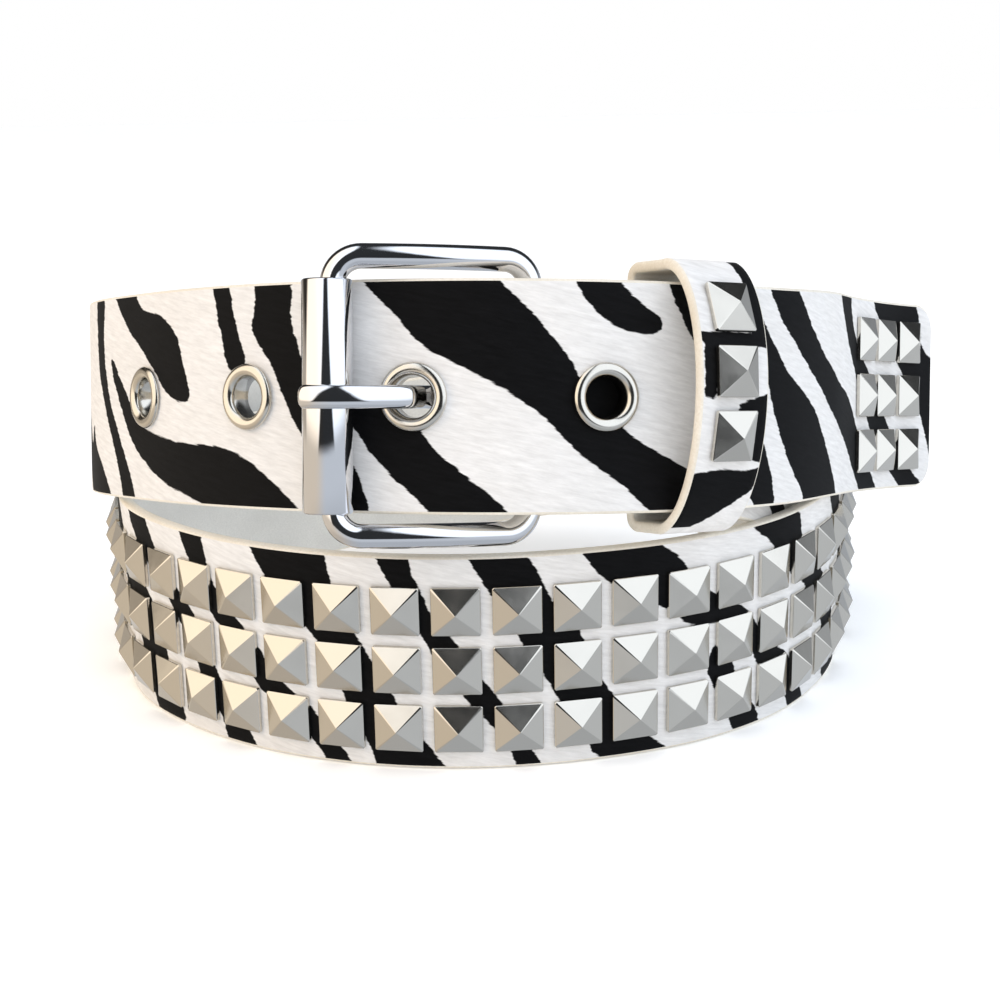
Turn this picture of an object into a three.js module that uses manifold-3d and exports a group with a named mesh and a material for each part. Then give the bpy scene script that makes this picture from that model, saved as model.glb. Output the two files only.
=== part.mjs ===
// Studded belt: a zebra-print strap wound in two turns and fastened by a roller buckle.
// Millimetres, +Z up. The belt stands on its lower edge, with its buckle towards -Y.

import * as THREE from 'three';
import { mergeGeometries, mergeVertices } from 'three/addons/utils/BufferGeometryUtils.js';
import Module from 'manifold-3d';

const wasm = await Module();
wasm.setup();

// Strap
const STRAP_WIDTH = 38;
const STRAP_THICK = 2.4;
const TIP_RADIUS = 5;
const TAIL_LENGTH = 130.5; // from the middle of the upper front to the tip
const TAIL_SPARE = 8; // how far the route runs on past the tip
const CHAPE_LENGTH = 38; // the folded end behind the strap, from the buckle's back bar

// Gaps
const TOUCH_GAP = 0.3; // between pieces that touch on the real belt
const LAYER_GAP = 0.45; // between the strap's two layers behind the buckle

// Coil
const COIL_WIDTH = 158;
const COIL_DEPTH = 138;
const TURN_GAP = 8.6; // height of the upper turn's edge over the lower turn, at the buckle
const UPPER_FALL = 26.8; // how far the upper turn sinks from the front to the back
const SIDE_FALL = 3.3; // how far it sinks from the left to the right
const NEST_GAP = 2.7; // between the studs of the inner turn and the back of the outer one

// Studs
const STUD_SIDE = 8.4;
const STUD_RIM = 0.8;
const STUD_HEIGHT = 2.8;
const STUD_ROOT = 0.6; // how deep a fused stud goes into the strap
const STUD_PITCH = 10.3;
const ROW_PITCH = 10.5;
const ROW_SHIFT = -1; // the field lies a little below the strap's middle
const TIP_STUD_PITCH = 10.4;
const TIP_ROW_PITCH = 11;
const TIP_MARGIN = 4.9; // from the last column to the end of the tip
const TIP_SAG = 0.1; // the strap's inward curve under each of these studs
const KEEPER_STUD_PITCH = 10.4;
const KEEPER_STUD_SHIFT = 4.2; // of the column's middle over the strap's middle

// Eyelets
const EYELET_PITCH = 31.5;
const EYELET_OUTER = 11.3;
const EYELET_BORE = 6.8;
const EYELET_CROWN = 1;
const EYELET_WALL = 0.5;
const EYELET_BACK_GAP = 0.55; // behind the strap, which is hollow there

// Buckle
const ROD = 4.1;
const WRAP_GAP = 0.6; // between the back bar and the strap folded round it
const FOLD_NECK = 14; // from the back bar to where the folded layers lie flat
const FRAME_INNER_HEIGHT = 41;
const FRAME_CORNER = 4.6; // radius of the rod's middle line
const FRAME_ARCH = 2.2;
const ROLLER_OUTER = 8.2;
const ROLLER_WALL = 0.7;
const ROLLER_LENGTH = 37.6;
const TONGUE_WIDTH = 3.8;
const TONGUE_THICK = 2.2;
const TONGUE_EYE_WALL = 1.5;
const TONGUE_END = 0.7; // thickness of its rounded end
const SLOT_MARGIN = 0.5; // between the tongue and the sides of its slot

// Keeper
const KEEPER_WIDTH = 14.5;
const KEEPER_THICK = 1.8;
const KEEPER_ROOM = 2; // between the strap's edge and the keeper
const KEEPER_SIDES = 2.5; // how far behind the strap's face its straight sides end
const KEEPER_ARCH = 9.1; // how far its rounded front rises from there
const KEEPER_SKEW = 2.2; // how far the top of its arch lies above the strap's middle
const KEEPER_BEND = 1; // inner radius of its two back bends

// Places along the upper front, measured from its middle
const BACK_BAR_PLACE = 8;
const ROLLER_PLACE = -24.7;
const TONGUE_EYELET_PLACE = -12;
const KEEPER_PLACE = 38;

// Fineness
const STEPS_PER_ROW = 3;
const FOLD_STEPS = 6;
const ROUND_SIDES = 14;
const ROD_SIDES = 12;
const LEAST_STEP = 0.2; // share of a step by which the strap's rings stay apart
const BEND_STEPS = 4; // in a round corner of the tip or the buckle's frame
const ARCH_STEPS = 14; // round the keeper's front
const LINE_STEPS = 12; // between two rows, where a line is measured
const WELD = 1e-4; // points nearer than this are one

// The route's plan. across and deep are shares of half the coil's width and depth from its middle.
// A level is 0 on the floor and 1 on the sloping upper turn. inset is a share of the nesting
// distance, by which the first turn lies inside the second.
const AFTER_KEEPER = [
  { across: 0.766, deep: -0.556, inset: 0.53, level: 0.885 },
];
const ROUND_THE_BACK = [
  { part: 'right front', across: 0.858, deep: -0.4, inset: 0.75, first: 0.843, second: 0 },
  { part: 'right', across: 0.947, deep: -0.13, inset: 1, first: 0.81, second: 0 },
  { part: 'right', across: 0.997, deep: 0.152, inset: 1, first: 0.79, second: 0 },
  { part: 'right back', across: 0.978, deep: 0.435, inset: 1, first: 0.775, second: 0 },
  { part: 'right back', across: 0.865, deep: 0.717, inset: 1, first: 0.77, second: 0.12 },
  { part: 'back', across: 0.687, deep: 0.884, inset: 1, first: 0.74, second: 0.38 },
  { part: 'back', across: 0.459, deep: 0.978, inset: 1, first: 0.67, second: 0.66 },
  { part: 'back', across: 0.206, deep: 1, inset: 1, first: 0.545, second: 0.87 },
  { part: 'back', across: -0.072, deep: 1, inset: 1, first: 0.41, second: 0.97 },
  { part: 'back', across: -0.351, deep: 0.957, inset: 1, first: 0.276, second: 1 },
  { part: 'left back', across: -0.616, deep: 0.841, inset: 1, first: 0.153, second: 1 },
  { part: 'left back', across: -0.819, deep: 0.674, inset: 1, first: 0.06, second: 1 },
  { part: 'left back', across: -0.958, deep: 0.449, inset: 0.98, first: 0, second: 1 },
  { part: 'left', across: -0.999, deep: 0.16, inset: 0.65, first: 0, second: 1 },
  { part: 'left front', across: -0.922, deep: -0.164, inset: 0.3, first: 0, second: 1 },
];
const LOWER_FRONT = [
  { across: -0.816, deep: -0.409 },
  { across: -0.662, deep: -0.638 },
  { across: -0.462, deep: -0.814 },
  { across: -0.228, deep: -0.923 },
  { across: 0.023, deep: -0.958 },
  { across: 0.272, deep: -0.919 },
  { across: 0.511, deep: -0.817 },
  { across: 0.713, deep: -0.641 },
];
const UPPER_FRONT = [
  { across: -0.775, deep: -0.42, level: 1 },
  { across: -0.614, deep: -0.641, level: 1 },
  { across: -0.42, deep: -0.825, level: 1 },
  { across: -0.195, deep: -0.949, level: 1 },
  { across: 0.054, deep: -0.997, level: 1 },
  { across: 0.304, deep: -0.957, level: 1 },
  { across: 0.529, deep: -0.833, level: 1 },
  { across: 0.718, deep: -0.643, level: 1.005 },
  { across: 0.865, deep: -0.413, level: 1.02 },
  { across: 0.979, deep: -0.17, level: 1.02 },
  { across: 1.131, deep: 0.06, level: 1.02 },
  { across: 1.32, deep: 0.25, level: 1.02 },
];
const LOWER_FRONT_MIDDLE = 4; // rows of the two front tables that stand at the middle
const UPPER_FRONT_MIDDLE = 4;

// The stud field, in steps of its pitch from the lower front's middle
const FIELD = { first: -32, last: 31, shift: -0.35 };

// The tongue's middle line, from its eye to its end: along the upper front in shares of the way from
// the back bar to the roller, and out of the strap's face in shares of the roller's height over it.
const TONGUE_LINE = [
  { along: 0.17, out: -0.645 },
  { along: 0.39, out: -0.625 },
  { along: 0.549, out: -0.53 },
  { along: 0.601, out: -0.15 },
  { along: 0.628, out: 0.18 },
  { along: 0.755, out: 0.68 },
  { along: 0.88, out: 1.02 },
  { along: 1, out: 1.175 },
  { along: 1.06, out: 1.13 },
];

// An eyelet's crown, from its rim to its bore: radius from the bore's edge to the rim and height over
// the strap, in shares of the ring's width and of the crown's height
const CROWN_LINE = [
  { radius: 0.89, out: 0.75 },
  { radius: 0.61, out: 1 },
  { radius: 0.22, out: 0.9 },
  { radius: 0, out: 0.5 },
];

const COLOURS = {
  hide: { color: 0xe4e2de, roughness: 0.85, metalness: 0 },
  nickel: { color: 0xd4d4d2, roughness: 0.18, metalness: 1 },
  chrome: { color: 0xe6e8ea, roughness: 0.06, metalness: 1 },
};

// Values that follow from the sizes
const NEST = STRAP_THICK + STUD_HEIGHT + NEST_GAP;
const EYELET_FLANGE = EYELET_WALL;
const LAP = EYELET_BACK_GAP + EYELET_FLANGE + TOUCH_GAP; // room for the eyelets' backs
const FOLD_RADIUS = ROD / 2 + WRAP_GAP + STRAP_THICK;
const OUTER_LAYER = -STRAP_THICK - LAP;
const INNER_LAYER = OUTER_LAYER - 2 * STRAP_THICK - LAYER_GAP;
const BACK_BAR_OUT = OUTER_LAYER - FOLD_RADIUS;
const ROLLER_OUT = ROLLER_OUTER / 2 + TOUCH_GAP;
const ROLLER_TOP = ROLLER_OUT + ROLLER_OUTER / 2;
const CHAPE_DROP = KEEPER_ROOM / 4; // at the keeper, where the strap starts to sink below its tail
const EYE_RADIUS = ROD / 2 + TOUCH_GAP + TONGUE_EYE_WALL;
const EYE_BORE = ROD / 2 + 1.2 * TOUCH_GAP; // its flat facets come nearer the bar than its corners
const ROLLER_PLAY = 0.65 * (ROLLER_OUTER / 2 - ROLLER_WALL - ROD / 2); // the tongue pulls the bar back
const KEEPER_SAG = KEEPER_WIDTH ** 2 / (4 * COIL_DEPTH); // the strap's curve within the keeper's width
const KEEPER_BACK = INNER_LAYER - TOUCH_GAP - 1.5 * KEEPER_SAG;
const KEEPER_HALF = STRAP_WIDTH / 2 + KEEPER_ROOM;
const UP = new THREE.Vector3(0, 0, 1);
const UPPER_AXIS = new THREE.Vector3(SIDE_FALL / COIL_WIDTH, UPPER_FALL / COIL_DEPTH, 1).normalize();

// Solids

function toSolid(geometry) {
  const bare = geometry.clone();
  bare.deleteAttribute('normal');
  bare.deleteAttribute('uv');
  const merged = mergeVertices(bare, WELD);
  return new wasm.Manifold(new wasm.Mesh({
    numProp: 3,
    vertProperties: new Float32Array(merged.attributes.position.array),
    triVerts: new Uint32Array(merged.index.array),
  }));
}

function toGeometry(solid) {
  const mesh = solid.getMesh();
  const geometry = new THREE.BufferGeometry();
  geometry.setAttribute('position', new THREE.BufferAttribute(new Float32Array(mesh.vertProperties), 3));
  geometry.setIndex(new THREE.BufferAttribute(new Uint32Array(mesh.triVerts), 1));
  return geometry;
}

function meshOf(points, index) {
  const geometry = new THREE.BufferGeometry();
  const flat = points.flatMap((point) => [point.x, point.y, point.z]);
  geometry.setAttribute('position', new THREE.BufferAttribute(new Float32Array(flat), 3));
  geometry.setIndex(index);
  return geometry;
}

// A closed skin over rings of points. A ring runs anticlockwise as seen from the way ahead.
function skin(rings, looped = false) {
  const count = rings[0].length;
  const bands = looped ? rings.length : rings.length - 1;
  const index = [];
  for (let i = 0; i < bands; i++) {
    const here = i * count;
    const next = ((i + 1) % rings.length) * count;
    for (let j = 0; j < count; j++) {
      const k = (j + 1) % count;
      index.push(here + j, here + k, next + k, here + j, next + k, next + j);
    }
  }
  const last = (rings.length - 1) * count;
  for (let j = 1; j < count - 1 && !looped; j++) {
    index.push(0, j + 1, j);
    index.push(last, last + j, last + j + 1);
  }
  return meshOf(rings.flat(), index);
}

// Route of the strap: the middle line of its printed face, and how its width stands

function upperLevel(x, y) {
  return STRAP_WIDTH + TURN_GAP - UPPER_FALL * (y / COIL_DEPTH + 0.5) - SIDE_FALL * (x / COIL_WIDTH);
}

// Moves the last row on along its own way, so that the route ends past the tip.
function stretchTail(plan) {
  const front = plan.slice(UPPER_FRONT_MIDDLE - UPPER_FRONT.length);
  const [before, end] = front.slice(-2);
  const lengths = front.slice(1, -1).map((point, i) => point.distanceTo(front[i]));
  const rest = TAIL_LENGTH + TAIL_SPARE - lengths.reduce((sum, length) => sum + length, 0);
  end.sub(before).setLength(rest).add(before);
}

function coilStations() {
  const first = ROUND_THE_BACK.map((row) => ({ ...row, level: row.first }));
  const second = ROUND_THE_BACK.map((row) => ({ ...row, level: row.second, inset: 0 }));
  const rows = [...AFTER_KEEPER, ...first, ...LOWER_FRONT, ...second, ...UPPER_FRONT];
  const plan = rows.map((row) => new THREE.Vector2(row.across * COIL_WIDTH / 2, row.deep * COIL_DEPTH / 2));
  stretchTail(plan);
  const outline = new THREE.SplineCurve(plan);
  return rows.map(({ inset = 0, level = 0 }, i) => {
    const along = outline.getTangent(i / (rows.length - 1));
    const x = plan[i].x - along.y * NEST * inset;
    const y = plan[i].y + along.x * NEST * inset;
    return {
      place: new THREE.Vector3(x, y, level * upperLevel(x, y) + STRAP_WIDTH / 2),
      stand: UP.clone().lerp(UPPER_AXIS, level).normalize(),
    };
  });
}

class Ribbon {
  constructor(stations) {
    this.stations = stations;
    this.count = stations.length - 1;
    this.line = new THREE.CatmullRomCurve3(stations.map(({ place }) => place), false, 'centripetal');
    this.line.arcLengthDivisions = this.count * LINE_STEPS;
    this.lengths = this.line.getLengths();
  }

  distanceOf(row) {
    return this.lengths[Math.round((row / this.count) * this.line.arcLengthDivisions)];
  }

  get length() {
    return this.lengths[this.lengths.length - 1];
  }

  // Place, the way along, the way across the strap, and the way out of its printed face
  frame(share) {
    const place = this.line.getPoint(share);
    const along = this.line.getTangent(share);
    const row = Math.min(Math.floor(share * this.count), this.count - 1);
    const stand = this.stations[row].stand.clone().lerp(this.stations[row + 1].stand, share * this.count - row);
    const across = stand.addScaledVector(along, -stand.dot(along)).normalize();
    place.z = Math.max(place.z, STRAP_WIDTH / 2);
    return { place, along, across, out: along.clone().cross(across) };
  }

  frameAt(distance) {
    return this.frame(this.line.getUtoTmapping(0, distance));
  }
}

function inFrame(frame, along, across, out) {
  return frame.place.clone()
    .addScaledVector(frame.along, along)
    .addScaledVector(frame.across, across)
    .addScaledVector(frame.out, out);
}

function poseOf(frame, along = 0, across = 0, out = 0) {
  const turn = new THREE.Matrix4().makeBasis(frame.along, frame.across, frame.out);
  return turn.setPosition(inFrame(frame, along, across, out));
}

const coilRows = coilStations();
const coil = new Ribbon(coilRows);
const upperMiddle = coil.distanceOf(coilRows.length - UPPER_FRONT.length + UPPER_FRONT_MIDDLE);
const upperFrame = (place) => coil.frameAt(upperMiddle + place);
const backBar = upperFrame(BACK_BAR_PLACE);
backBar.place = inFrame(backBar, 0, 0, BACK_BAR_OUT);

// The fold: the inner layer behind the strap, the half turn round the back bar and the outer layer
function foldStations() {
  const stations = [];
  const add = (frame, place) => stations.push({ place, stand: frame.across });
  const layer = (place, out) => {
    const frame = upperFrame(place);
    const drop = CHAPE_DROP * ((place - BACK_BAR_PLACE) / (KEEPER_PLACE - BACK_BAR_PLACE)) ** 2;
    add(frame, inFrame(frame, 0, -drop, out));
  };
  const start = BACK_BAR_PLACE + FOLD_NECK;
  const innerEnd = BACK_BAR_PLACE + CHAPE_LENGTH;
  const outerEnd = KEEPER_PLACE + KEEPER_WIDTH / 2;
  for (const share of [1, 0.67, 0.33, 0]) {
    layer(THREE.MathUtils.lerp(start, innerEnd, share), INNER_LAYER);
  }
  for (let i = 0; i <= FOLD_STEPS; i++) {
    const turn = (i / FOLD_STEPS - 0.5) * Math.PI;
    add(backBar, inFrame(backBar, -FOLD_RADIUS * Math.cos(turn), 0, FOLD_RADIUS * Math.sin(turn)));
  }
  for (const share of [0, 0.33, 0.67, 1]) {
    layer(THREE.MathUtils.lerp(start, outerEnd, share), OUTER_LAYER);
  }
  return stations;
}

const foldRows = foldStations();
const strapLine = new Ribbon([...foldRows, ...coilRows]);
const lowerMiddle = strapLine.distanceOf(
  foldRows.length + AFTER_KEEPER.length + ROUND_THE_BACK.length + LOWER_FRONT_MIDDLE,
);
const strapUpperMiddle = strapLine.distanceOf(strapLine.count + 1 - UPPER_FRONT.length + UPPER_FRONT_MIDDLE);
const tipEnd = strapUpperMiddle + TAIL_LENGTH;

// Strap

function strapRing(share, halfWidth) {
  const frame = strapLine.frame(share);
  return [
    inFrame(frame, 0, -halfWidth, -STRAP_THICK),
    inFrame(frame, 0, halfWidth, -STRAP_THICK),
    inFrame(frame, 0, halfWidth, 0),
    inFrame(frame, 0, -halfWidth, 0),
  ];
}

function strapBody() {
  const rings = [];
  const steps = strapLine.count * STEPS_PER_ROW;
  const endShare = strapLine.line.getUtoTmapping(0, tipEnd);
  const roundShare = strapLine.line.getUtoTmapping(0, tipEnd - TIP_RADIUS);
  for (let i = 0; i < roundShare * steps - LEAST_STEP; i++) {
    rings.push(strapRing(i / steps, STRAP_WIDTH / 2));
  }
  for (let i = 0; i <= BEND_STEPS; i++) {
    const turn = (i / BEND_STEPS) * (Math.PI / 2);
    const share = THREE.MathUtils.lerp(roundShare, endShare, Math.sin(turn));
    rings.push(strapRing(share, STRAP_WIDTH / 2 - TIP_RADIUS * (1 - Math.cos(turn))));
  }
  return skin(rings);
}

// A square pyramid stud with a low upright rim, standing on its frame's face
function studGeometry(root) {
  const half = STUD_SIDE / 2;
  const square = (z) => [[-half, -half], [half, -half], [half, half], [-half, half]]
    .map(([x, y]) => new THREE.Vector3(x, y, z));
  const index = [0, 2, 1, 0, 3, 2];
  for (let j = 0; j < 4; j++) {
    const k = (j + 1) % 4;
    index.push(j, k, 4 + k, j, 4 + k, 4 + j, 4 + j, 4 + k, 8);
  }
  return meshOf([...square(-root), ...square(STUD_RIM), new THREE.Vector3(0, 0, STUD_HEIGHT)], index);
}

function studField() {
  const studs = [];
  for (let column = FIELD.first; column <= FIELD.last; column++) {
    const distance = lowerMiddle + (column + FIELD.shift) * STUD_PITCH;
    const frame = strapLine.frameAt(distance);
    for (const row of [-1, 0, 1]) {
      const stud = studGeometry(STUD_ROOT);
      stud.applyMatrix4(poseOf(frame, 0, row * ROW_PITCH + ROW_SHIFT));
      studs.push(stud);
    }
  }
  return mergeGeometries(studs);
}

const eyeletPlaces = [1, 0, -1, -2].map((step) => TONGUE_EYELET_PLACE + step * EYELET_PITCH);

function eyeletHoles() {
  const radius = EYELET_BORE / 2 + EYELET_WALL + TOUCH_GAP;
  return mergeGeometries(eyeletPlaces.map((place) => {
    const hole = new THREE.CylinderGeometry(radius, radius, STRAP_THICK * 2, ROUND_SIDES);
    hole.rotateX(Math.PI / 2);
    hole.applyMatrix4(poseOf(upperFrame(place), 0, 0, -STRAP_THICK / 2));
    return hole;
  }));
}

// The slot that the tongue's eye needs in the fold
function tongueSlot() {
  const right = EYE_RADIUS + 2 * SLOT_MARGIN;
  const left = FOLD_RADIUS + STRAP_THICK;
  const reach = FOLD_RADIUS + STRAP_THICK;
  const front = FOLD_RADIUS + LAP / 2;
  const slot = new THREE.BoxGeometry(left + right, TONGUE_WIDTH + 2 * SLOT_MARGIN, front + reach);
  slot.applyMatrix4(poseOf(backBar, (right - left) / 2, 0, (front - reach) / 2));
  return slot;
}

function strap() {
  return toGeometry(
    toSolid(strapBody())
      .subtract(toSolid(eyeletHoles()))
      .subtract(toSolid(tongueSlot()))
      .add(toSolid(studField())),
  );
}

// Loose studs of the tip and the keeper

function seatedStud(frame, along, across, out) {
  const stud = studGeometry(0);
  stud.applyMatrix4(poseOf(frame, along, across, out + TOUCH_GAP));
  return stud;
}

function tipStuds() {
  const studs = [];
  for (let column = 0; column < 3; column++) {
    const frame = upperFrame(TAIL_LENGTH - TIP_MARGIN - STUD_SIDE / 2 - column * TIP_STUD_PITCH);
    for (const row of [1, 0, -1]) {
      studs.push(seatedStud(frame, 0, row * TIP_ROW_PITCH, TIP_SAG));
    }
  }
  return studs;
}

// Eyelet: crown, barrel and back flange in one, turned about the hole

function eyelet(place) {
  const bore = EYELET_BORE / 2;
  const barrel = bore + EYELET_WALL;
  const rim = EYELET_OUTER / 2;
  const back = -STRAP_THICK - EYELET_BACK_GAP;
  const profile = [
    [bore, back - EYELET_FLANGE],
    [rim - EYELET_WALL, back - EYELET_FLANGE],
    [rim - EYELET_WALL, back],
    [barrel, back],
    [barrel, TOUCH_GAP],
    [rim, TOUCH_GAP],
    ...CROWN_LINE.map(({ radius, out }) => [bore + radius * (rim - bore), out * EYELET_CROWN]),
    [bore, back - EYELET_FLANGE],
  ].map(([radius, out]) => new THREE.Vector2(radius, out));
  const ring = new THREE.LatheGeometry(profile, ROUND_SIDES);
  ring.rotateX(Math.PI / 2);
  ring.applyMatrix4(poseOf(upperFrame(place)));
  return ring;
}

// Buckle

const rollerPlace = inFrame(upperFrame(ROLLER_PLACE), 0, 0, ROLLER_OUT);
const towardsBack = backBar.place.clone().sub(rollerPlace).normalize();
const frontBarPlace = rollerPlace.clone().addScaledVector(towardsBack, ROLLER_PLAY);

function buckleFrame() {
  const across = backBar.across;
  const ahead = frontBarPlace.clone().sub(backBar.place);
  const length = ahead.length();
  ahead.normalize();
  const out = across.clone().cross(ahead);
  const half = (FRAME_INNER_HEIGHT + ROD) / 2;
  const corner = FRAME_CORNER;
  const path = new THREE.Path();
  path.moveTo(corner, -half);
  path.lineTo(length - corner, -half);
  path.absarc(length - corner, corner - half, corner, -Math.PI / 2, 0);
  path.lineTo(length, half - corner);
  path.absarc(length - corner, half - corner, corner, 0, Math.PI / 2);
  path.lineTo(corner, half);
  path.absarc(corner, half - corner, corner, Math.PI / 2, Math.PI);
  path.lineTo(0, corner - half);
  path.absarc(corner, corner - half, corner, Math.PI, Math.PI * 1.5);
  const flat = [];
  for (const piece of path.curves) {
    const steps = piece.isLineCurve ? Math.round(piece.getLength() / (2 * ROD)) : BEND_STEPS;
    for (let i = 0; i < steps; i++) flat.push(piece.getPoint(i / steps));
  }
  const middle = flat.map((point) => backBar.place.clone()
    .addScaledVector(ahead, point.x)
    .addScaledVector(across, point.y)
    .addScaledVector(out, FRAME_ARCH * Math.sin(Math.PI * point.x / length)));
  const rings = middle.map((point, i) => {
    const before = middle[(i + middle.length - 1) % middle.length];
    const along = middle[(i + 1) % middle.length].clone().sub(before).normalize();
    const side = out.clone().cross(along).normalize();
    const face = along.clone().cross(side);
    return roundRing(point, side, face, ROD / 2, ROD_SIDES);
  });
  return skin(rings, true);
}

function roundRing(place, side, face, radius, sides) {
  const ring = [];
  for (let j = 0; j < sides; j++) {
    const turn = (j + 0.5) / sides * 2 * Math.PI;
    ring.push(place.clone()
      .addScaledVector(side, radius * Math.cos(turn))
      .addScaledVector(face, radius * Math.sin(turn)));
  }
  return ring;
}

function buckleRoller() {
  const outer = ROLLER_OUTER / 2;
  const inner = outer - ROLLER_WALL;
  const half = ROLLER_LENGTH / 2;
  const profile = [[inner, -half], [outer, -half], [outer, half], [inner, half], [inner, -half]]
    .map(([radius, height]) => new THREE.Vector2(radius, height));
  const tube = new THREE.LatheGeometry(profile, ROUND_SIDES * 1.5);
  const frame = { place: rollerPlace, along: backBar.along, across: backBar.across, out: backBar.out };
  tube.applyMatrix4(poseOf(frame));
  return tube;
}

// The tongue's side view lies in the plane through the two bars, seen against the strap's width.
function tongueArmShape() {
  const toPlane = ({ along, out }) => {
    const place = THREE.MathUtils.lerp(BACK_BAR_PLACE, ROLLER_PLACE, along);
    const point = inFrame(upperFrame(place), 0, 0, out * ROLLER_TOP).sub(backBar.place);
    return new THREE.Vector2(point.dot(backBar.along), point.dot(backBar.out));
  };
  const root = new THREE.Vector2(0, EYE_RADIUS - TONGUE_THICK / 2);
  const line = new THREE.SplineCurve([root, ...TONGUE_LINE.map(toPlane)]);
  const steps = TONGUE_LINE.length * STEPS_PER_ROW;
  const left = [];
  const right = [];
  for (let i = 0; i <= steps; i++) {
    const place = line.getPoint(i / steps);
    const along = line.getTangent(i / steps);
    const thick = i === steps ? TONGUE_END : TONGUE_THICK;
    const offset = new THREE.Vector2(-along.y, along.x).multiplyScalar(thick / 2);
    left.push(place.clone().add(offset));
    right.push(place.clone().sub(offset));
  }
  return new THREE.Shape([...right, ...left.reverse()]);
}

function buckleTongue() {
  const eye = new THREE.Shape();
  eye.absarc(0, 0, EYE_RADIUS, 0, 2 * Math.PI);
  const bore = new THREE.Path();
  bore.absarc(0, 0, EYE_BORE, 0, 2 * Math.PI);
  const arm = new THREE.ExtrudeGeometry(tongueArmShape(), { depth: TONGUE_WIDTH, bevelEnabled: false });
  const disc = new THREE.ExtrudeGeometry(eye, {
    depth: TONGUE_WIDTH, bevelEnabled: false, curveSegments: ROUND_SIDES / 2,
  });
  const drill = new THREE.ExtrudeGeometry(new THREE.Shape(bore.getPoints(ROUND_SIDES / 2)), {
    depth: TONGUE_WIDTH * 2, bevelEnabled: false,
  });
  drill.translate(0, 0, -TONGUE_WIDTH / 2);
  const tongue = toGeometry(toSolid(arm).add(toSolid(disc)).subtract(toSolid(drill)));
  const frame = {
    place: backBar.place, along: backBar.along, across: backBar.out, out: backBar.across.clone().negate(),
  };
  tongue.applyMatrix4(poseOf(frame, 0, 0, -TONGUE_WIDTH / 2));
  return tongue;
}

// Keeper: a closed band round the strap's three layers, arched in front

function keeperOutline(wall) {
  const half = KEEPER_HALF + wall;
  const back = KEEPER_BACK - wall;
  const bend = KEEPER_BEND + wall;
  const outline = new THREE.Shape();
  outline.moveTo(bend - half, back);
  outline.lineTo(half - bend, back);
  outline.absarc(half - bend, back + bend, bend, -Math.PI / 2, 0);
  for (let i = 0; i <= ARCH_STEPS; i++) {
    const turn = (i / ARCH_STEPS) * Math.PI;
    const across = half * Math.cos(turn) + KEEPER_SKEW * Math.sin(turn);
    outline.lineTo(across, (KEEPER_ARCH + wall) * Math.sin(turn) - KEEPER_SIDES);
  }
  outline.absarc(bend - half, back + bend, bend, Math.PI, Math.PI * 1.5);
  return outline;
}

const keeperFrame = upperFrame(KEEPER_PLACE);

function keeper() {
  const outline = keeperOutline(KEEPER_THICK);
  outline.holes.push(new THREE.Path(keeperOutline(0).getPoints(6)));
  const band = new THREE.ExtrudeGeometry(outline, { depth: KEEPER_WIDTH, bevelEnabled: false, curveSegments: 6 });
  const frame = {
    place: keeperFrame.place, along: keeperFrame.across, across: keeperFrame.out, out: keeperFrame.along,
  };
  band.applyMatrix4(poseOf(frame, 0, 0, -KEEPER_WIDTH / 2));
  return band;
}

function keeperStud(row) {
  const across = row * KEEPER_STUD_PITCH + KEEPER_STUD_SHIFT;
  const half = KEEPER_HALF + KEEPER_THICK;
  const arch = KEEPER_ARCH + KEEPER_THICK;
  const turn = Math.atan2(KEEPER_SKEW, half) + Math.acos(across / Math.hypot(half, KEEPER_SKEW));
  const slope = -Math.atan2(arch * Math.cos(turn), half * Math.sin(turn) - KEEPER_SKEW * Math.cos(turn));
  const tilted = {
    place: inFrame(keeperFrame, 0, across, arch * Math.sin(turn) - KEEPER_SIDES),
    along: keeperFrame.along,
    across: keeperFrame.across.clone().applyAxisAngle(keeperFrame.along, slope),
    out: keeperFrame.out.clone().applyAxisAngle(keeperFrame.along, slope),
  };
  return seatedStud(tilted, 0, 0, 0);
}

// Assembly

const group = new THREE.Group();

function addPiece(name, geometry, finish) {
  const material = new THREE.MeshStandardMaterial(finish);
  const mesh = new THREE.Mesh(geometry, material);
  mesh.name = name;
  group.add(mesh);
}

addPiece('strap', strap(), COLOURS.hide);
tipStuds().forEach((stud, i) => addPiece(`tip_stud_${i + 1}`, stud, COLOURS.nickel));
eyeletPlaces.forEach((place, i) => addPiece(`eyelet_${i + 1}`, eyelet(place), COLOURS.nickel));
addPiece('keeper', keeper(), COLOURS.hide);
[1, 0, -1].forEach((row, i) => addPiece(`keeper_stud_${i + 1}`, keeperStud(row), COLOURS.nickel));
addPiece('buckle_frame', buckleFrame(), COLOURS.chrome);
addPiece('buckle_roller', buckleRoller(), COLOURS.chrome);
addPiece('buckle_tongue', buckleTongue(), COLOURS.chrome);

// The origin lies under the middle of the whole belt's box, on the floor.
const box = new THREE.Box3().setFromObject(group, true);
group.position.set(-(box.min.x + box.max.x) / 2, -(box.min.y + box.max.y) / 2, -box.min.z);

export default group;
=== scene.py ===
"""Studded belt: the zebra-print strap, its studs, eyelets and keeper, and the roller buckle.

Lengths in the tables and functions are millimetres. A mesh is scaled to metres when it is made.
"""

import math
import random

import bpy
import numpy as np
from mathutils import Matrix, Vector


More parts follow.
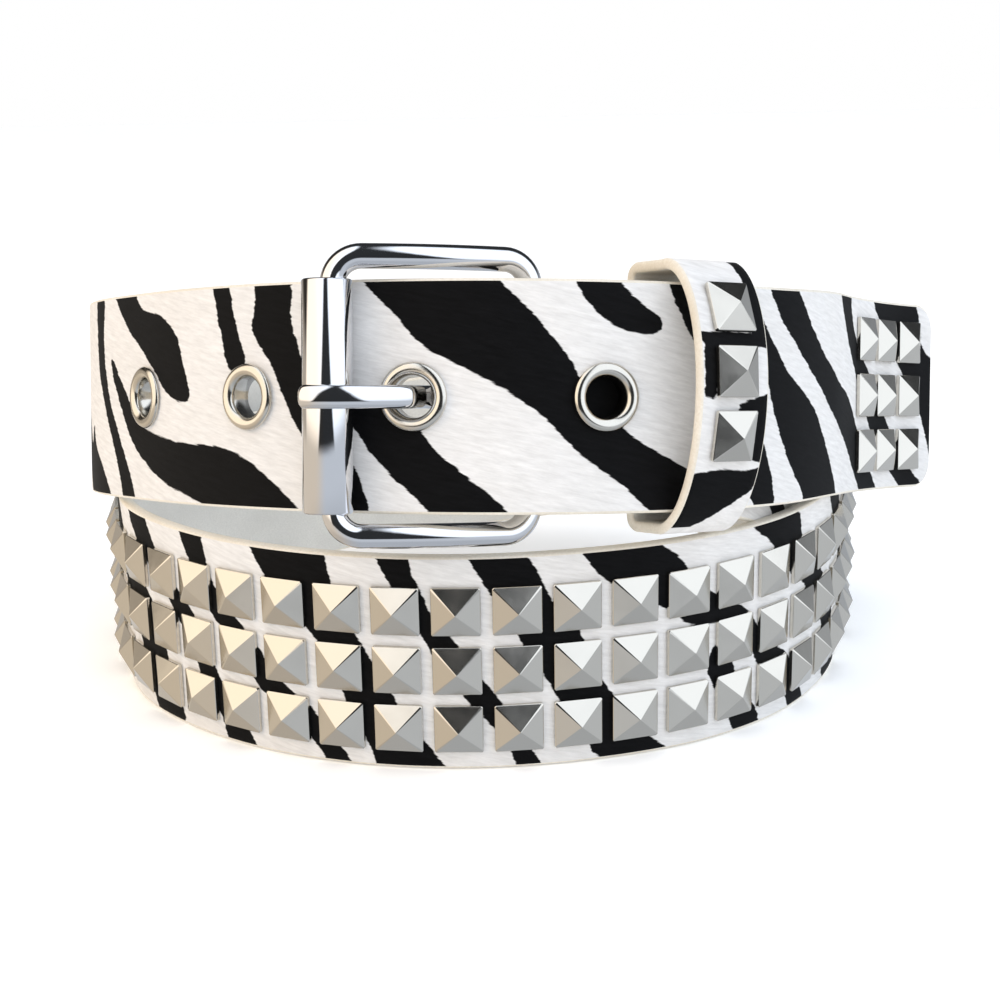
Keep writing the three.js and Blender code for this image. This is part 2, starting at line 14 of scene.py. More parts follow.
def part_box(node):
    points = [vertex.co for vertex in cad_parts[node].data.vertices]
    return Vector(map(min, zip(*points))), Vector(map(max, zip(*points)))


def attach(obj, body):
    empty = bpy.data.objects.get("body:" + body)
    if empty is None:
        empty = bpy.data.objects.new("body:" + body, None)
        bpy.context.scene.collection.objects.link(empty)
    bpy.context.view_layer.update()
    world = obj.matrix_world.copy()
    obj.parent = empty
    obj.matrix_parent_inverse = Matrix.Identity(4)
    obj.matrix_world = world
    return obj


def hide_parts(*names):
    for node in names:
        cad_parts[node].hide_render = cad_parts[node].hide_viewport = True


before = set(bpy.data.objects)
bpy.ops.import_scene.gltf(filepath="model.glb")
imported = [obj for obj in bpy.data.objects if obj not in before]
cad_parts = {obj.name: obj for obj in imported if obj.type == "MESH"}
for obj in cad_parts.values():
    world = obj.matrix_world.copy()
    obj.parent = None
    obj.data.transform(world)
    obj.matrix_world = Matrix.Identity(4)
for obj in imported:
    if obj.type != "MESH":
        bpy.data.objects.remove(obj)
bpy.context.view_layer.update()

bl_info = {
    "name": "Studded Belt",
    "version": (1, 0, 0),
    "blender": (4, 5, 0),
    "location": "View3D > Sidebar > Belt",
    "description": "Builds a coiled zebra-print belt with pyramid studs and a roller buckle",
    "category": "Object",
}

MM = 0.001

# ---- Sizes that the pieces share, in millimetres ----
STRAP_WIDTH = 38
STRAP_THICK = 2.4
TIP_RADIUS = 5
TAIL_LENGTH = 130.5
TAIL_SPARE = 8
CHAPE_LENGTH = 38
TOUCH_GAP = 0.3
LAYER_GAP = 0.45
COIL_WIDTH = 158
COIL_DEPTH = 138
TURN_GAP = 8.6
UPPER_FALL = 26.8
SIDE_FALL = 3.3
NEST_GAP = 2.7
STUD_HEIGHT = 2.8
STUD_PITCH = 10.3
ROW_SHIFT = -1
STUD_SIDE = 8.4
TIP_STUD_PITCH = 10.4
TIP_ROW_PITCH = 11
TIP_MARGIN = 4.9
TIP_SAG = 0.1
KEEPER_STUD_PITCH = 10.4
KEEPER_STUD_SHIFT = 4.2
EYELET_PITCH = 31.5
EYELET_OUTER = 11.3
EYELET_BORE = 6.8
EYELET_WALL = 0.5
EYELET_BACK_GAP = 0.55
ROD = 4.1
WRAP_GAP = 0.6
FOLD_NECK = 14
FRAME_INNER_HEIGHT = 41
FRAME_CORNER = 4.6
FRAME_ARCH = 2.2
ROLLER_OUTER = 8.2
ROLLER_WALL = 0.7
ROLLER_LENGTH = 37.6
TONGUE_WIDTH = 3.8
TONGUE_THICK = 2.2
TONGUE_EYE_WALL = 1.5
KEEPER_WIDTH = 14.5
KEEPER_THICK = 1.8
KEEPER_ROOM = 2
KEEPER_SIDES = 2.5
KEEPER_ARCH = 9.1
KEEPER_SKEW = 2.2
KEEPER_BEND = 1
BACK_BAR_PLACE = 8
ROLLER_PLACE = -24.7
TONGUE_EYELET_PLACE = -12
KEEPER_PLACE = 38
HALF = STRAP_WIDTH / 2
HOLE_ROOM = 0.75
SLOT_ROOM = 0.6
SLOT_REACH = 1
FAR_FROM_PRINT = 60.0

# The route's plan: shares of half the coil's width and depth, with the level of each turn
AFTER_KEEPER = [
    {"across": 0.766, "deep": -0.556, "inset": 0.53, "level": 0.885},
]
ROUND_THE_BACK = [
    {"across": 0.858, "deep": -0.4, "inset": 0.75, "first": 0.843, "second": 0},
    {"across": 0.947, "deep": -0.13, "inset": 1, "first": 0.81, "second": 0},
    {"across": 0.997, "deep": 0.152, "inset": 1, "first": 0.79, "second": 0},
    {"across": 0.978, "deep": 0.435, "inset": 1, "first": 0.775, "second": 0},
    {"across": 0.865, "deep": 0.717, "inset": 1, "first": 0.77, "second": 0.12},
    {"across": 0.687, "deep": 0.884, "inset": 1, "first": 0.74, "second": 0.38},
    {"across": 0.459, "deep": 0.978, "inset": 1, "first": 0.67, "second": 0.66},
    {"across": 0.206, "deep": 1, "inset": 1, "first": 0.545, "second": 0.87},
    {"across": -0.072, "deep": 1, "inset": 1, "first": 0.41, "second": 0.97},
    {"across": -0.351, "deep": 0.957, "inset": 1, "first": 0.276, "second": 1},
    {"across": -0.616, "deep": 0.841, "inset": 1, "first": 0.153, "second": 1},
    {"across": -0.819, "deep": 0.674, "inset": 1, "first": 0.06, "second": 1},
    {"across": -0.958, "deep": 0.449, "inset": 0.98, "first": 0, "second": 1},
    {"across": -0.999, "deep": 0.16, "inset": 0.65, "first": 0, "second": 1},
    {"across": -0.922, "deep": -0.164, "inset": 0.3, "first": 0, "second": 1},
]
LOWER_FRONT = [
    {"across": -0.816, "deep": -0.409},
    {"across": -0.662, "deep": -0.638},
    {"across": -0.462, "deep": -0.814},
    {"across": -0.228, "deep": -0.923},
    {"across": 0.023, "deep": -0.958},
    {"across": 0.272, "deep": -0.919},
    {"across": 0.511, "deep": -0.817},
    {"across": 0.713, "deep": -0.641},
]
UPPER_FRONT = [
    {"across": -0.775, "deep": -0.42, "level": 1},
    {"across": -0.614, "deep": -0.641, "level": 1},
    {"across": -0.42, "deep": -0.825, "level": 1},
    {"across": -0.195, "deep": -0.949, "level": 1},
    {"across": 0.054, "deep": -0.997, "level": 1},
    {"across": 0.304, "deep": -0.957, "level": 1},
    {"across": 0.529, "deep": -0.833, "level": 1},
    {"across": 0.718, "deep": -0.643, "level": 1.005},
    {"across": 0.865, "deep": -0.413, "level": 1.02},
    {"across": 0.979, "deep": -0.17, "level": 1.02},
    {"across": 1.131, "deep": 0.06, "level": 1.02},
    {"across": 1.32, "deep": 0.25, "level": 1.02},
]
FRONT_MIDDLE_ROW = 4
FIELD = {"first": -32, "last": 31, "shift": -0.35}
TONGUE_LINE = [
    {"along": 0.17, "out": -0.645},
    {"along": 0.39, "out": -0.625},
    {"along": 0.549, "out": -0.53},
    {"along": 0.601, "out": -0.15},
    {"along": 0.628, "out": 0.18},
    {"along": 0.755, "out": 0.68},
    {"along": 0.88, "out": 1.02},
    {"along": 1, "out": 1.175},
    {"along": 1.06, "out": 1.13},
]

# ---- Values that follow from the sizes ----
NEST = STRAP_THICK + STUD_HEIGHT + NEST_GAP
LAP = EYELET_BACK_GAP + EYELET_WALL + TOUCH_GAP
FOLD_RADIUS = ROD / 2 + WRAP_GAP + STRAP_THICK
OUTER_LAYER = -STRAP_THICK - LAP
INNER_LAYER = OUTER_LAYER - 2 * STRAP_THICK - LAYER_GAP
BACK_BAR_OUT = OUTER_LAYER - FOLD_RADIUS
ROLLER_OUT = ROLLER_OUTER / 2 + TOUCH_GAP
ROLLER_TOP = ROLLER_OUT + ROLLER_OUTER / 2
CHAPE_DROP = KEEPER_ROOM / 4
EYE_RADIUS = ROD / 2 + TOUCH_GAP + TONGUE_EYE_WALL
ROLLER_PLAY = 0.65 * (ROLLER_OUTER / 2 - ROLLER_WALL - ROD / 2)
KEEPER_SAG = KEEPER_WIDTH**2 / (4 * COIL_DEPTH)
KEEPER_BACK = INNER_LAYER - TOUCH_GAP - 1.5 * KEEPER_SAG
KEEPER_HALF = HALF + KEEPER_ROOM
UP = np.array([0.0, 0.0, 1.0])

# ---- The print, charted ----
# Each stripe is an outline of (along, across) points in millimetres. along runs from the middle of
# the lower or the upper front towards the tip, and across runs from the lower edge, -19, to 19.
UPPER_STRIPES = [
    [(-100, 20), (-99.8, 12), (-98.8, 5), (-96, 0), (-93, -5), (-90, -10), (-87.5, -15), (-85.8, -20),
     (-80, -20), (-82.3, -15), (-85.7, -10), (-89.2, -5), (-92.6, 0), (-94.3, 5), (-95.3, 12), (-94, 20)],
    [(-105, -4), (-103.5, -9), (-100.5, -11), (-97, -13.2), (-94.3, -16), (-91, -20), (-109, -20),
     (-108, -10)],
    [(-91.5, 7.8), (-89.5, 6.8), (-86.5, 3), (-83.5, 0.5), (-81, -3), (-77, -5.5), (-71, -7), (-63, -8),
     (-56, -8.3), (-50.5, -8.6), (-46, -9.8), (-41.5, -12), (-36, -15.8), (-31, -20), (-51, -20),
     (-58, -18), (-66, -16), (-73, -13.5), (-79, -10.5), (-83, -7), (-86, -3), (-88.5, 1), (-91, 5)],
    [(-89.5, 20), (-86, 15.5), (-82, 12), (-77, 9), (-72.5, 5.5), (-69, 2), (-65, -0.5), (-61, -1),
     (-59.5, -0.5), (-59.3, 1), (-61, 5), (-62.5, 9.5), (-65.5, 13), (-70, 15), (-75, 15.5), (-78, 17),
     (-79.5, 20)],
    [(-52.6, 20), (-51.5, 15), (-50, 10), (-49, 6), (-47.3, 3.5), (-43.5, 5.5), (-45.5, 10), (-47, 14),
     (-48, 20)],
    [(-42, 20), (-41.8, 15), (-42.8, 11.5), (-41, 8.5), (-38, 5), (-35.8, 0), (-33.5, -4.5), (-31, -8),
     (-28, -14), (-26, -20), (-19.3, -20), (-20.5, -15), (-22.3, -11), (-26, -6), (-30, 0), (-31.5, 5),
     (-33, 9), (-34.3, 13), (-33.5, 20)],
    [(-25, 0.5), (-22, 2.5), (-18, 0), (-14, -3), (-10.5, -5.5), (-9.3, -7.5), (-7, -10), (-3, -13),
     (1, -16), (4.8, -20), (-8.8, -20), (-10.5, -17.3), (-14, -14.3), (-17.5, -11.3), (-19.8, -8.5),
     (-22, -5.2), (-25, -2)],
    [(-22, 20), (-18, 16), (-14.5, 12.7), (-11.5, 9), (-8.5, 7), (-4, 4.6), (0, 2.7), (3.5, 0.8),
     (7.5, -2), (11, -4.8), (14, -8.5), (17.5, -11), (21.5, -13.8), (25, -16.4), (29, -20), (46, -20),
     (40, -16), (36, -12.5), (32, -10.5), (28, -8.5), (24, -6.3), (20, -3), (16.5, 1), (13.5, 6),
     (10.5, 9.8), (7, 13.8), (3.5, 17), (0.8, 20)],
    [(13.8, 20), (15, 17), (17, 14.5), (20, 12), (24, 10.5), (28, 10.2), (30, 11.2), (29.5, 13),
     (26.5, 15), (23.5, 17), (20.5, 20)],
    [(30.3, 20), (32, 16), (34.5, 11.5), (37, 8), (41, 8), (40, 14), (35, 20)],
    [(51, 16), (53.5, 12.5), (57, 8.5), (60, 4.7), (65, 1.6), (69, -1), (72.5, -4.2), (76, -9),
     (79.5, -14), (83.2, -20), (66, -20), (65.3, -16.5), (62.3, -13.5), (59.5, -9.5), (57.3, -5),
     (54.8, 1), (53.2, 6), (51, 11)],
    [(49, -7), (52.5, -6), (55, -12), (57, -20), (49, -20)],
    [(54, 20), (58, 14), (62, 10.5), (66, 7), (70, 4), (75, 0), (80, -3.5), (84, -6.5), (88, -9),
     (93, -13), (97, -16.5), (100, -20), (109.5, -20), (105, -15), (100, -10), (95, -4), (90, 0),
     (84, 2), (79, 5), (74, 8.5), (70, 12.5), (67, 16), (63.5, 20)],
    [(83.5, 20), (86, 15.5), (90, 10), (96, 4), (104, -6.5), (113, -14), (121, -20), (130, -20),
     (122, -14), (114, -6.5), (104, 4.5), (97, 9.5), (92.5, 15), (91.5, 20)],
    [(104.5, 20), (109, 15), (115, 9), (120, 4.5), (125, 0), (129, -8), (131, -14), (134, -8),
     (134, 7), (127.5, 9), (126.5, 15), (124.5, 20)],
]
LOWER_STRIPES = [
    [(-100, 20), (-95, 13), (-91, 8), (-86, 4), (-81, -1), (-77, -6.5), (-74, -12), (-71, -20),
     (-60, -20), (-63.5, -12), (-66, -6.5), (-69, -1), (-71, 4), (-79, 8), (-85, 13), (-90, 20)],
    [(-81, 20), (-78, 15.5), (-73, 11), (-68, 8), (-63.7, 4.2), (-60, 0), (-56, -6.5), (-53.5, -10),
     (-50.5, -14), (-48.5, -20), (-41, -20), (-45, -14), (-48, -10), (-50.8, -6.5), (-54, 0),
     (-56.8, 4.2), (-62, 8), (-66, 11), (-69, 15), (-72, 20)],
    [(-60, 20), (-58, 15.5), (-55.5, 12), (-53.5, 8), (-51.5, 4.2), (-47, 1), (-42.5, -2), (-42, -6.5),
     (-37, -10), (-32, -13), (-28.5, -17), (-27, -20), (-22, -20), (-24, -16.5), (-27, -13), (-30, -9),
     (-34.3, -6.5), (-38, -3), (-41, 1), (-44.3, 4.2), (-50, 9), (-52, 14), (-53, 20)],
    [(-42, 20), (-39.5, 15.5), (-37, 12), (-33, 8), (-29.3, 4.2), (-25, 0), (-24, -6.5), (-21, -11),
     (-19, -16), (-18, -20), (-5, -20), (-9, -14.5), (-12, -11), (-14.5, -6.5), (-18.2, 0),
     (-20.8, 4.2), (-23, 7), (-24.5, 11), (-25.5, 15), (-26.5, 20)],
    [(-17.5, 20), (-16, 16), (-13.5, 12), (-11, 8), (-9, 4.2), (-7, 0), (-4, -4), (-1.8, -7),
     (2, -11), (5, -15), (6.5, -20), (11, -20), (8, -14), (5, -10), (3.8, -6.5), (-1, -1),
     (-3.8, 4.2), (-7.5, 8), (-9, 12), (-11, 16), (-11.5, 20)],
    [(-2, 20), (0, 16), (4, 10), (7, 4.5), (9, 1), (12, -4), (14, -8), (18, -13), (20.5, -20),
     (35, -20), (29, -15), (25, -11), (23, -6), (18, -1), (18.5, 4), (13.5, 9), (11.5, 13.5), (8, 20)],
    [(17, 20), (20.5, 15), (24, 12), (29, 9.5), (34, 6.5), (38, 3.2), (43, 2.8), (48, 2), (50, 0),
     (52, -3), (54, -7.5), (58, -10), (63, -15), (64.5, -20), (71, -20), (68.5, -15), (66, -11),
     (63.5, -7.5), (60, -5.5), (56, -3), (53.5, 1), (51, 4), (46, 6.5), (42, 9), (38.5, 13), (36, 16),
     (31, 20)],
    [(43.5, -1), (47, -2), (48, -7), (52, -12), (56, -20), (48.5, -20), (46, -13), (42.3, -7.5),
     (41.8, -4)],
    [(50, 20), (55, 16.7), (58.5, 14), (61, 10), (66, 6), (70, 4), (75, -1), (80, -6), (81, -12),
     (81, -20), (94, -20), (91, -12), (89, -6.5), (84, 0), (79, 4.5), (72, 8), (68.5, 13), (67, 20)],
    [(83, 20), (85, 15), (90, 10), (96, 3), (102, -6), (108, -20), (116, -20), (109, -8), (103, 4),
     (97, 11), (92, 20)],
]
# The keeper's stripes: along the strap, and across it from the keeper's lower bend to its upper one
KEEPER_STRIPES = [
    [(-9, 10.4), (-3.6, 10.8), (4, 10.4), (4.6, 20), (5, 27), (9, 27), (9, 7.4), (6, 8.2), (-3.8, 8.2),
     (-4, -0.6), (-6.6, 0), (-6.4, 9)],
    [(0.5, -1), (4.5, -0.2), (9, 1.5), (9, -11), (4.8, -10.4), (4.6, -3.4), (1, -3.4)],
    [(-9, -12.6), (-2, -11.8), (4.5, -12), (9, -11), (6, -16), (-1, -20.5), (-9, -25)],
]
# Plain bands with uneven edges run over the parts of the strap that the two charts leave out.
PLAIN_PRINT = {"step": 21.0, "width": 8.0, "lean": 0.75, "seed": 11}
CHARTED = {"lower": (-100, 112), "upper": (-109, 135)}
HIDDEN_START = 3.0
# The black patch of the fold that shows through the eyelet beside the keeper, from the fold's neck
FOLD_STRIPES = [[(-12, 20), (7, 20), (5, 0), (7, -20), (-12, -20), (-10, 0)]]


# ---- Route of the strap ----
def unit(vectors):
    """Vectors, one or a list of them, at length 1."""
    vectors = np.asarray(vectors, float)
    return vectors / np.linalg.norm(vectors, axis=-1, keepdims=True)


UPPER_AXIS = unit([SIDE_FALL / COIL_WIDTH, UPPER_FALL / COIL_DEPTH, 1])


class Ribbon:
    """A strap's line: its places, the way along, across the width, and out of the printed face."""

    FINENESS = 24

    def __init__(self, places, stands):
        places, stands = np.array(places), np.array(stands)
        padded = np.vstack([2 * places[0] - places[1], places, 2 * places[-1] - places[-2]])
        steps = np.linspace(0, 1, self.FINENESS, endpoint=False)[:, None]
        line, stand = [], []
        for i in range(len(places) - 1):
            line.append(self.span(padded[i : i + 4], steps))
            stand.append(stands[i] + (stands[i + 1] - stands[i]) * steps)
        self.line = np.vstack([*line, places[-1:]])
        self.stand = np.vstack([*stand, stands[-1:]])
        gaps = np.linalg.norm(np.diff(self.line, axis=0), axis=1)
        self.distance = np.concatenate([[0], np.cumsum(gaps)])
        self.length = self.distance[-1]

    @staticmethod
    def span(points, steps):
        """One span of a centripetal spline through four points."""
        knots = np.maximum(np.linalg.norm(np.diff(points, axis=0), axis=1) ** 0.5, 1e-4)
        before, here, after = knots
        p0, p1, p2, p3 = points
        leave = ((p1 - p0) / before - (p2 - p0) / (before + here) + (p2 - p1) / here) * here
        reach = ((p2 - p1) / here - (p3 - p1) / (here + after) + (p3 - p2) / after) * here
        return (
            p1
            + leave * steps
            + (3 * (p2 - p1) - 2 * leave - reach) * steps**2
            + (2 * (p1 - p2) + leave + reach) * steps**3
        )

    def row_distance(self, row):
        """Distance along the line of one of the rows it was made from."""
        return self.distance[row * self.FINENESS]

    def frames(self, distances):
        """Frames at these distances, as arrays: place, along, across and out."""
        distances = np.atleast_1d(np.asarray(distances, float))
        tangent = np.gradient(self.line, self.distance, axis=0)

        def at(values):
            return np.stack([np.interp(distances, self.distance, values[:, k]) for k in range(3)], -1)

        place, along, stand = at(self.line), unit(at(tangent)), at(self.stand)
        place[:, 2] = np.maximum(place[:, 2], HALF)
        across = unit(stand - along * np.sum(stand * along, axis=1, keepdims=True))
        return {"place": place, "along": along, "across": across, "out": np.cross(along, across)}

    def frame(self, distance):
        """One frame, as vectors."""
        return {key: value[0] for key, value in self.frames(distance).items()}


def shifted(at, along=0.0, across=0.0, out=0.0):
    """A frame's place moved along its own three ways."""
    return at["place"] + at["along"] * along + at["across"] * across + at["out"] * out


def moved(at, along=0.0, across=0.0, out=0.0):
    """The same frame at a moved place."""
    return {**at, "place": shifted(at, along, across, out)}


def upper_level(x, y):
    """Height of the upper turn's lower edge over a place on the floor."""
    return HALF * 2 + TURN_GAP - UPPER_FALL * (y / COIL_DEPTH + 0.5) - SIDE_FALL * x / COIL_WIDTH


def coil_rows():
    """Places and stands of the two turns, from behind the keeper to the tail's end."""
    first = [{**row, "level": row["first"]} for row in ROUND_THE_BACK]
    second = [{**row, "level": row["second"], "inset": 0} for row in ROUND_THE_BACK]
    rows = [*AFTER_KEEPER, *first, *LOWER_FRONT, *second, *UPPER_FRONT]
    plan = np.array([(row["across"] * COIL_WIDTH / 2, row["deep"] * COIL_DEPTH / 2) for row in rows])
    front = plan[FRONT_MIDDLE_ROW - len(UPPER_FRONT) : -1]
    rest = TAIL_LENGTH + TAIL_SPARE - np.linalg.norm(np.diff(front, axis=0), axis=1).sum()
    plan[-1] = plan[-2] + unit(plan[-1] - plan[-2]) * rest
    ahead = np.vstack([plan[1:], plan[-1:]]) - np.vstack([plan[:1], plan[:-1]])
    ahead = unit(ahead)
    places, stands = [], []
    for row, (x, y), (dx, dy) in zip(rows, plan, ahead):
        inset = NEST * row.get("inset", 0)
        x, y = x - dy * inset, y + dx * inset
        level = row.get("level", 0)
        places.append((x, y, level * upper_level(x, y) + HALF))
        stands.append(unit(UP * (1 - level) + UPPER_AXIS * level))
    return places, stands


class Route:
    """The whole strap's ribbon with the places of the pieces on it."""

    FOLD_STEPS = 6

    def __init__(self):
        places, stands = coil_rows()
        self.coil = Ribbon(places, stands)
        middle_row = len(places) - len(UPPER_FRONT) + FRONT_MIDDLE_ROW
        self.coil_middle = self.coil.row_distance(middle_row)
        self.back_bar = moved(self.upper(BACK_BAR_PLACE), out=BACK_BAR_OUT)
        fold_places, fold_stands = self.fold_rows()
        self.strap = Ribbon([*fold_places, *places], [*fold_stands, *stands])
        fold = len(fold_places)
        self.fold_end = self.strap.row_distance(fold - 1)
        self.neck_end = self.strap.row_distance(fold - 4)
        lower_row = fold + len(AFTER_KEEPER) + len(ROUND_THE_BACK) + FRONT_MIDDLE_ROW
        self.lower_middle = self.strap.row_distance(lower_row)
        self.upper_middle = self.strap.row_distance(fold + middle_row)
        self.tip = self.upper_middle + TAIL_LENGTH
        self.offset = self.offset_to_cad()

    def upper(self, place):
        """Frame at a place along the upper front, measured from its middle."""
        return self.coil.frame(self.coil_middle + place)

    def fold_rows(self):
        """Rows of the inner layer, the half turn round the back bar and the outer layer."""
        places, stands = [], []

        def layer(place, out):
            drop = CHAPE_DROP * ((place - BACK_BAR_PLACE) / (KEEPER_PLACE - BACK_BAR_PLACE)) ** 2
            at = self.upper(place)
            places.append(shifted(at, across=-drop, out=out))
            stands.append(at["across"])

        start = BACK_BAR_PLACE + FOLD_NECK
        inner_end = BACK_BAR_PLACE + CHAPE_LENGTH
        outer_end = KEEPER_PLACE + KEEPER_WIDTH / 2
        for share in (1, 0.67, 0.33, 0):
            layer(start + (inner_end - start) * share, INNER_LAYER)
        for i in range(self.FOLD_STEPS + 1):
            turn = (i / self.FOLD_STEPS - 0.5) * math.pi
            bend = {"along": -FOLD_RADIUS * math.cos(turn), "out": FOLD_RADIUS * math.sin(turn)}
            places.append(shifted(self.back_bar, **bend))
            stands.append(self.back_bar["across"])
        for share in (0, 0.33, 0.67, 1):
            layer(start + (outer_end - start) * share, OUTER_LAYER)
        return places, stands

    def offset_to_cad(self):
        """From the coil's own middle to the frame's origin, read from the roller's box."""
        low, high = (Vector(corner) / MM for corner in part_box("buckle_roller"))
        roller = shifted(self.upper(ROLLER_PLACE), out=ROLLER_OUT)
        offset = np.array((low + high) / 2) - roller
        return np.array([offset[0], offset[1], 0.0])


route = Route()


# ---- Mesh helpers ----
def to_frame(points):
    """Points of the coil, in millimetres, as places in the frame, in metres."""
    return (np.asarray(points, float) + route.offset) * MM


def make_piece(name, points, faces, materials=(), face_materials=None):
    """A mesh object whose place is in its mesh. Its points are in the coil's millimetres."""
    mesh = bpy.data.meshes.new(name)
    mesh.from_pydata([tuple(p) for p in to_frame(points)], [], faces)
    for material in materials:
        mesh.materials.append(material)
    if face_materials is not None:
        mesh.polygons.foreach_set("material_index", face_materials)
    mesh.polygons.foreach_set("use_smooth", [True] * len(mesh.polygons))
    mesh.update()
    piece = bpy.data.objects.new(name, mesh)
    bpy.context.collection.objects.link(piece)
    return piece


def set_map(piece, name, values):
    """A UV map from one (u, v) pair per point."""
    mesh = piece.data
    corners = np.empty(len(mesh.loops), int)
    mesh.loops.foreach_get("vertex_index", corners)
    layer = mesh.uv_layers.new(name=name)
    layer.data.foreach_set("uv", np.asarray(values, np.float32)[corners].ravel())


def set_number(piece, name, values):
    """A number per point."""
    attribute = piece.data.attributes.new(name, "FLOAT", "POINT")
    attribute.data.foreach_set("value", np.asarray(values, np.float32))


def band_faces(rings, count, closed=False):
    """Quads between rings of count points each. closed joins the last ring to the first."""
    faces = []
    for i in range(rings if closed else rings - 1):
        here, after = i * count, ((i + 1) % rings) * count
        for j in range(count):
            k = (j + 1) % count
            faces.append((here + j, here + k, after + k, after + j))
    return faces


def stripe_distance(points, stripes):
    """Signed distance in millimetres from the nearest stripe's edge: below 0 inside a stripe."""
    points = np.asarray(points, float)
    nearest = np.full(len(points), 50.0)
    for stripe in stripes:
        start = np.array(stripe, float)
        end = np.roll(start, -1, axis=0)
        low, high = start.min(axis=0) - 6, start.max(axis=0) + 6
        close = np.all((points > low) & (points < high), axis=1)
        if not close.any():
            continue
        p = points[close][:, None]
        side = end - start
        share = np.clip(np.sum((p - start) * side, -1) / np.sum(side * side, -1), 0, 1)
        gap = np.linalg.norm(p - start - share[..., None] * side, axis=-1).min(axis=1)
        spans = (start[:, 1] > p[..., 1]) != (end[:, 1] > p[..., 1])
        rise = np.where(side[:, 1] == 0, 1, side[:, 1])
        hit = p[..., 0] < (p[..., 1] - start[:, 1]) * side[:, 0] / rise + start[:, 0]
        inside = np.sum(spans & hit, axis=1) % 2 == 1
        signed = np.where(inside, -gap, gap)
        nearest[close] = np.minimum(nearest[close], signed)
    return nearest


def rounded(stripe):
    """A stripe's outline with a point cut on each side of every corner, so that it curves."""
    corners = np.array(stripe, float)
    after = np.roll(corners, -1, axis=0)
    cut = np.stack([corners * 0.75 + after * 0.25, corners * 0.25 + after * 0.75], axis=1)
    return cut.reshape(-1, 2)


def strap_stripes():
    """All stripes as outlines along the whole strap."""
    charts = [(UPPER_STRIPES, route.upper_middle), (LOWER_STRIPES, route.lower_middle),
              (FOLD_STRIPES, route.neck_end)]
    stripes = []
    for chart, middle in charts:
        stripes += [rounded([(s + middle, t) for s, t in stripe]) for stripe in chart]
    dice = random.Random(PLAIN_PRINT["seed"])
    lower = [route.lower_middle + end for end in CHARTED["lower"]]
    upper = [route.upper_middle + end for end in CHARTED["upper"]]
    for start, end in ((HIDDEN_START, lower[0]), (lower[1], upper[0])):
        count = round((end - start) / PLAIN_PRINT["step"])
        for i in range(count):
            middle = start + (i + 0.5) * (end - start) / count
            left, right = [], []
            for across in (20, 12, 4, -4, -12, -20):
                centre = middle - across * PLAIN_PRINT["lean"] + dice.uniform(-1.5, 1.5)
                half = PLAIN_PRINT["width"] / 2 * dice.uniform(0.55, 1.25)
                left.append((centre - half, across))
                right.append((centre + half, across))
            stripes.append(rounded(left + right[::-1]))
    return stripes


# ---- Nodes ----
def add(tree, kind, inputs=None, **settings):
    """Adds a node with its settings. An input is given a value or linked from a socket."""
    node = tree.nodes.new(kind)
    for name, value in settings.items():
        setattr(node, name, value)
    for key, value in (inputs or {}).items():
        if isinstance(value, bpy.types.NodeSocket):
            tree.links.new(value, node.inputs[key])
        else:
            node.inputs[key].default_value = value
    return node


def linear(colour):
    """A hex sRGB colour as linear red, green, blue and alpha."""
    parts = [int(colour[i : i + 2], 16) / 255 for i in (1, 3, 5)]
    return tuple(p / 12.92 if p <= 0.04045 else ((p + 0.055) / 1.055) ** 2.4 for p in parts) + (1.0,)


def noise(tree, place, grain, detail, roughness=0.5):
    """A noise whose grains are this many millimetres long."""
    return add(tree, "ShaderNodeTexNoise", {
        "Vector": place, "Scale": 1 / (grain * MM), "Detail": detail, "Roughness": roughness})


def new_material(name):
    """A material with an empty tree, and its output node."""
    material = bpy.data.materials.new(name)
    material.use_nodes = True
    tree = material.node_tree
    tree.nodes.clear()
    return material, tree, tree.nodes.new("ShaderNodeOutputMaterial")


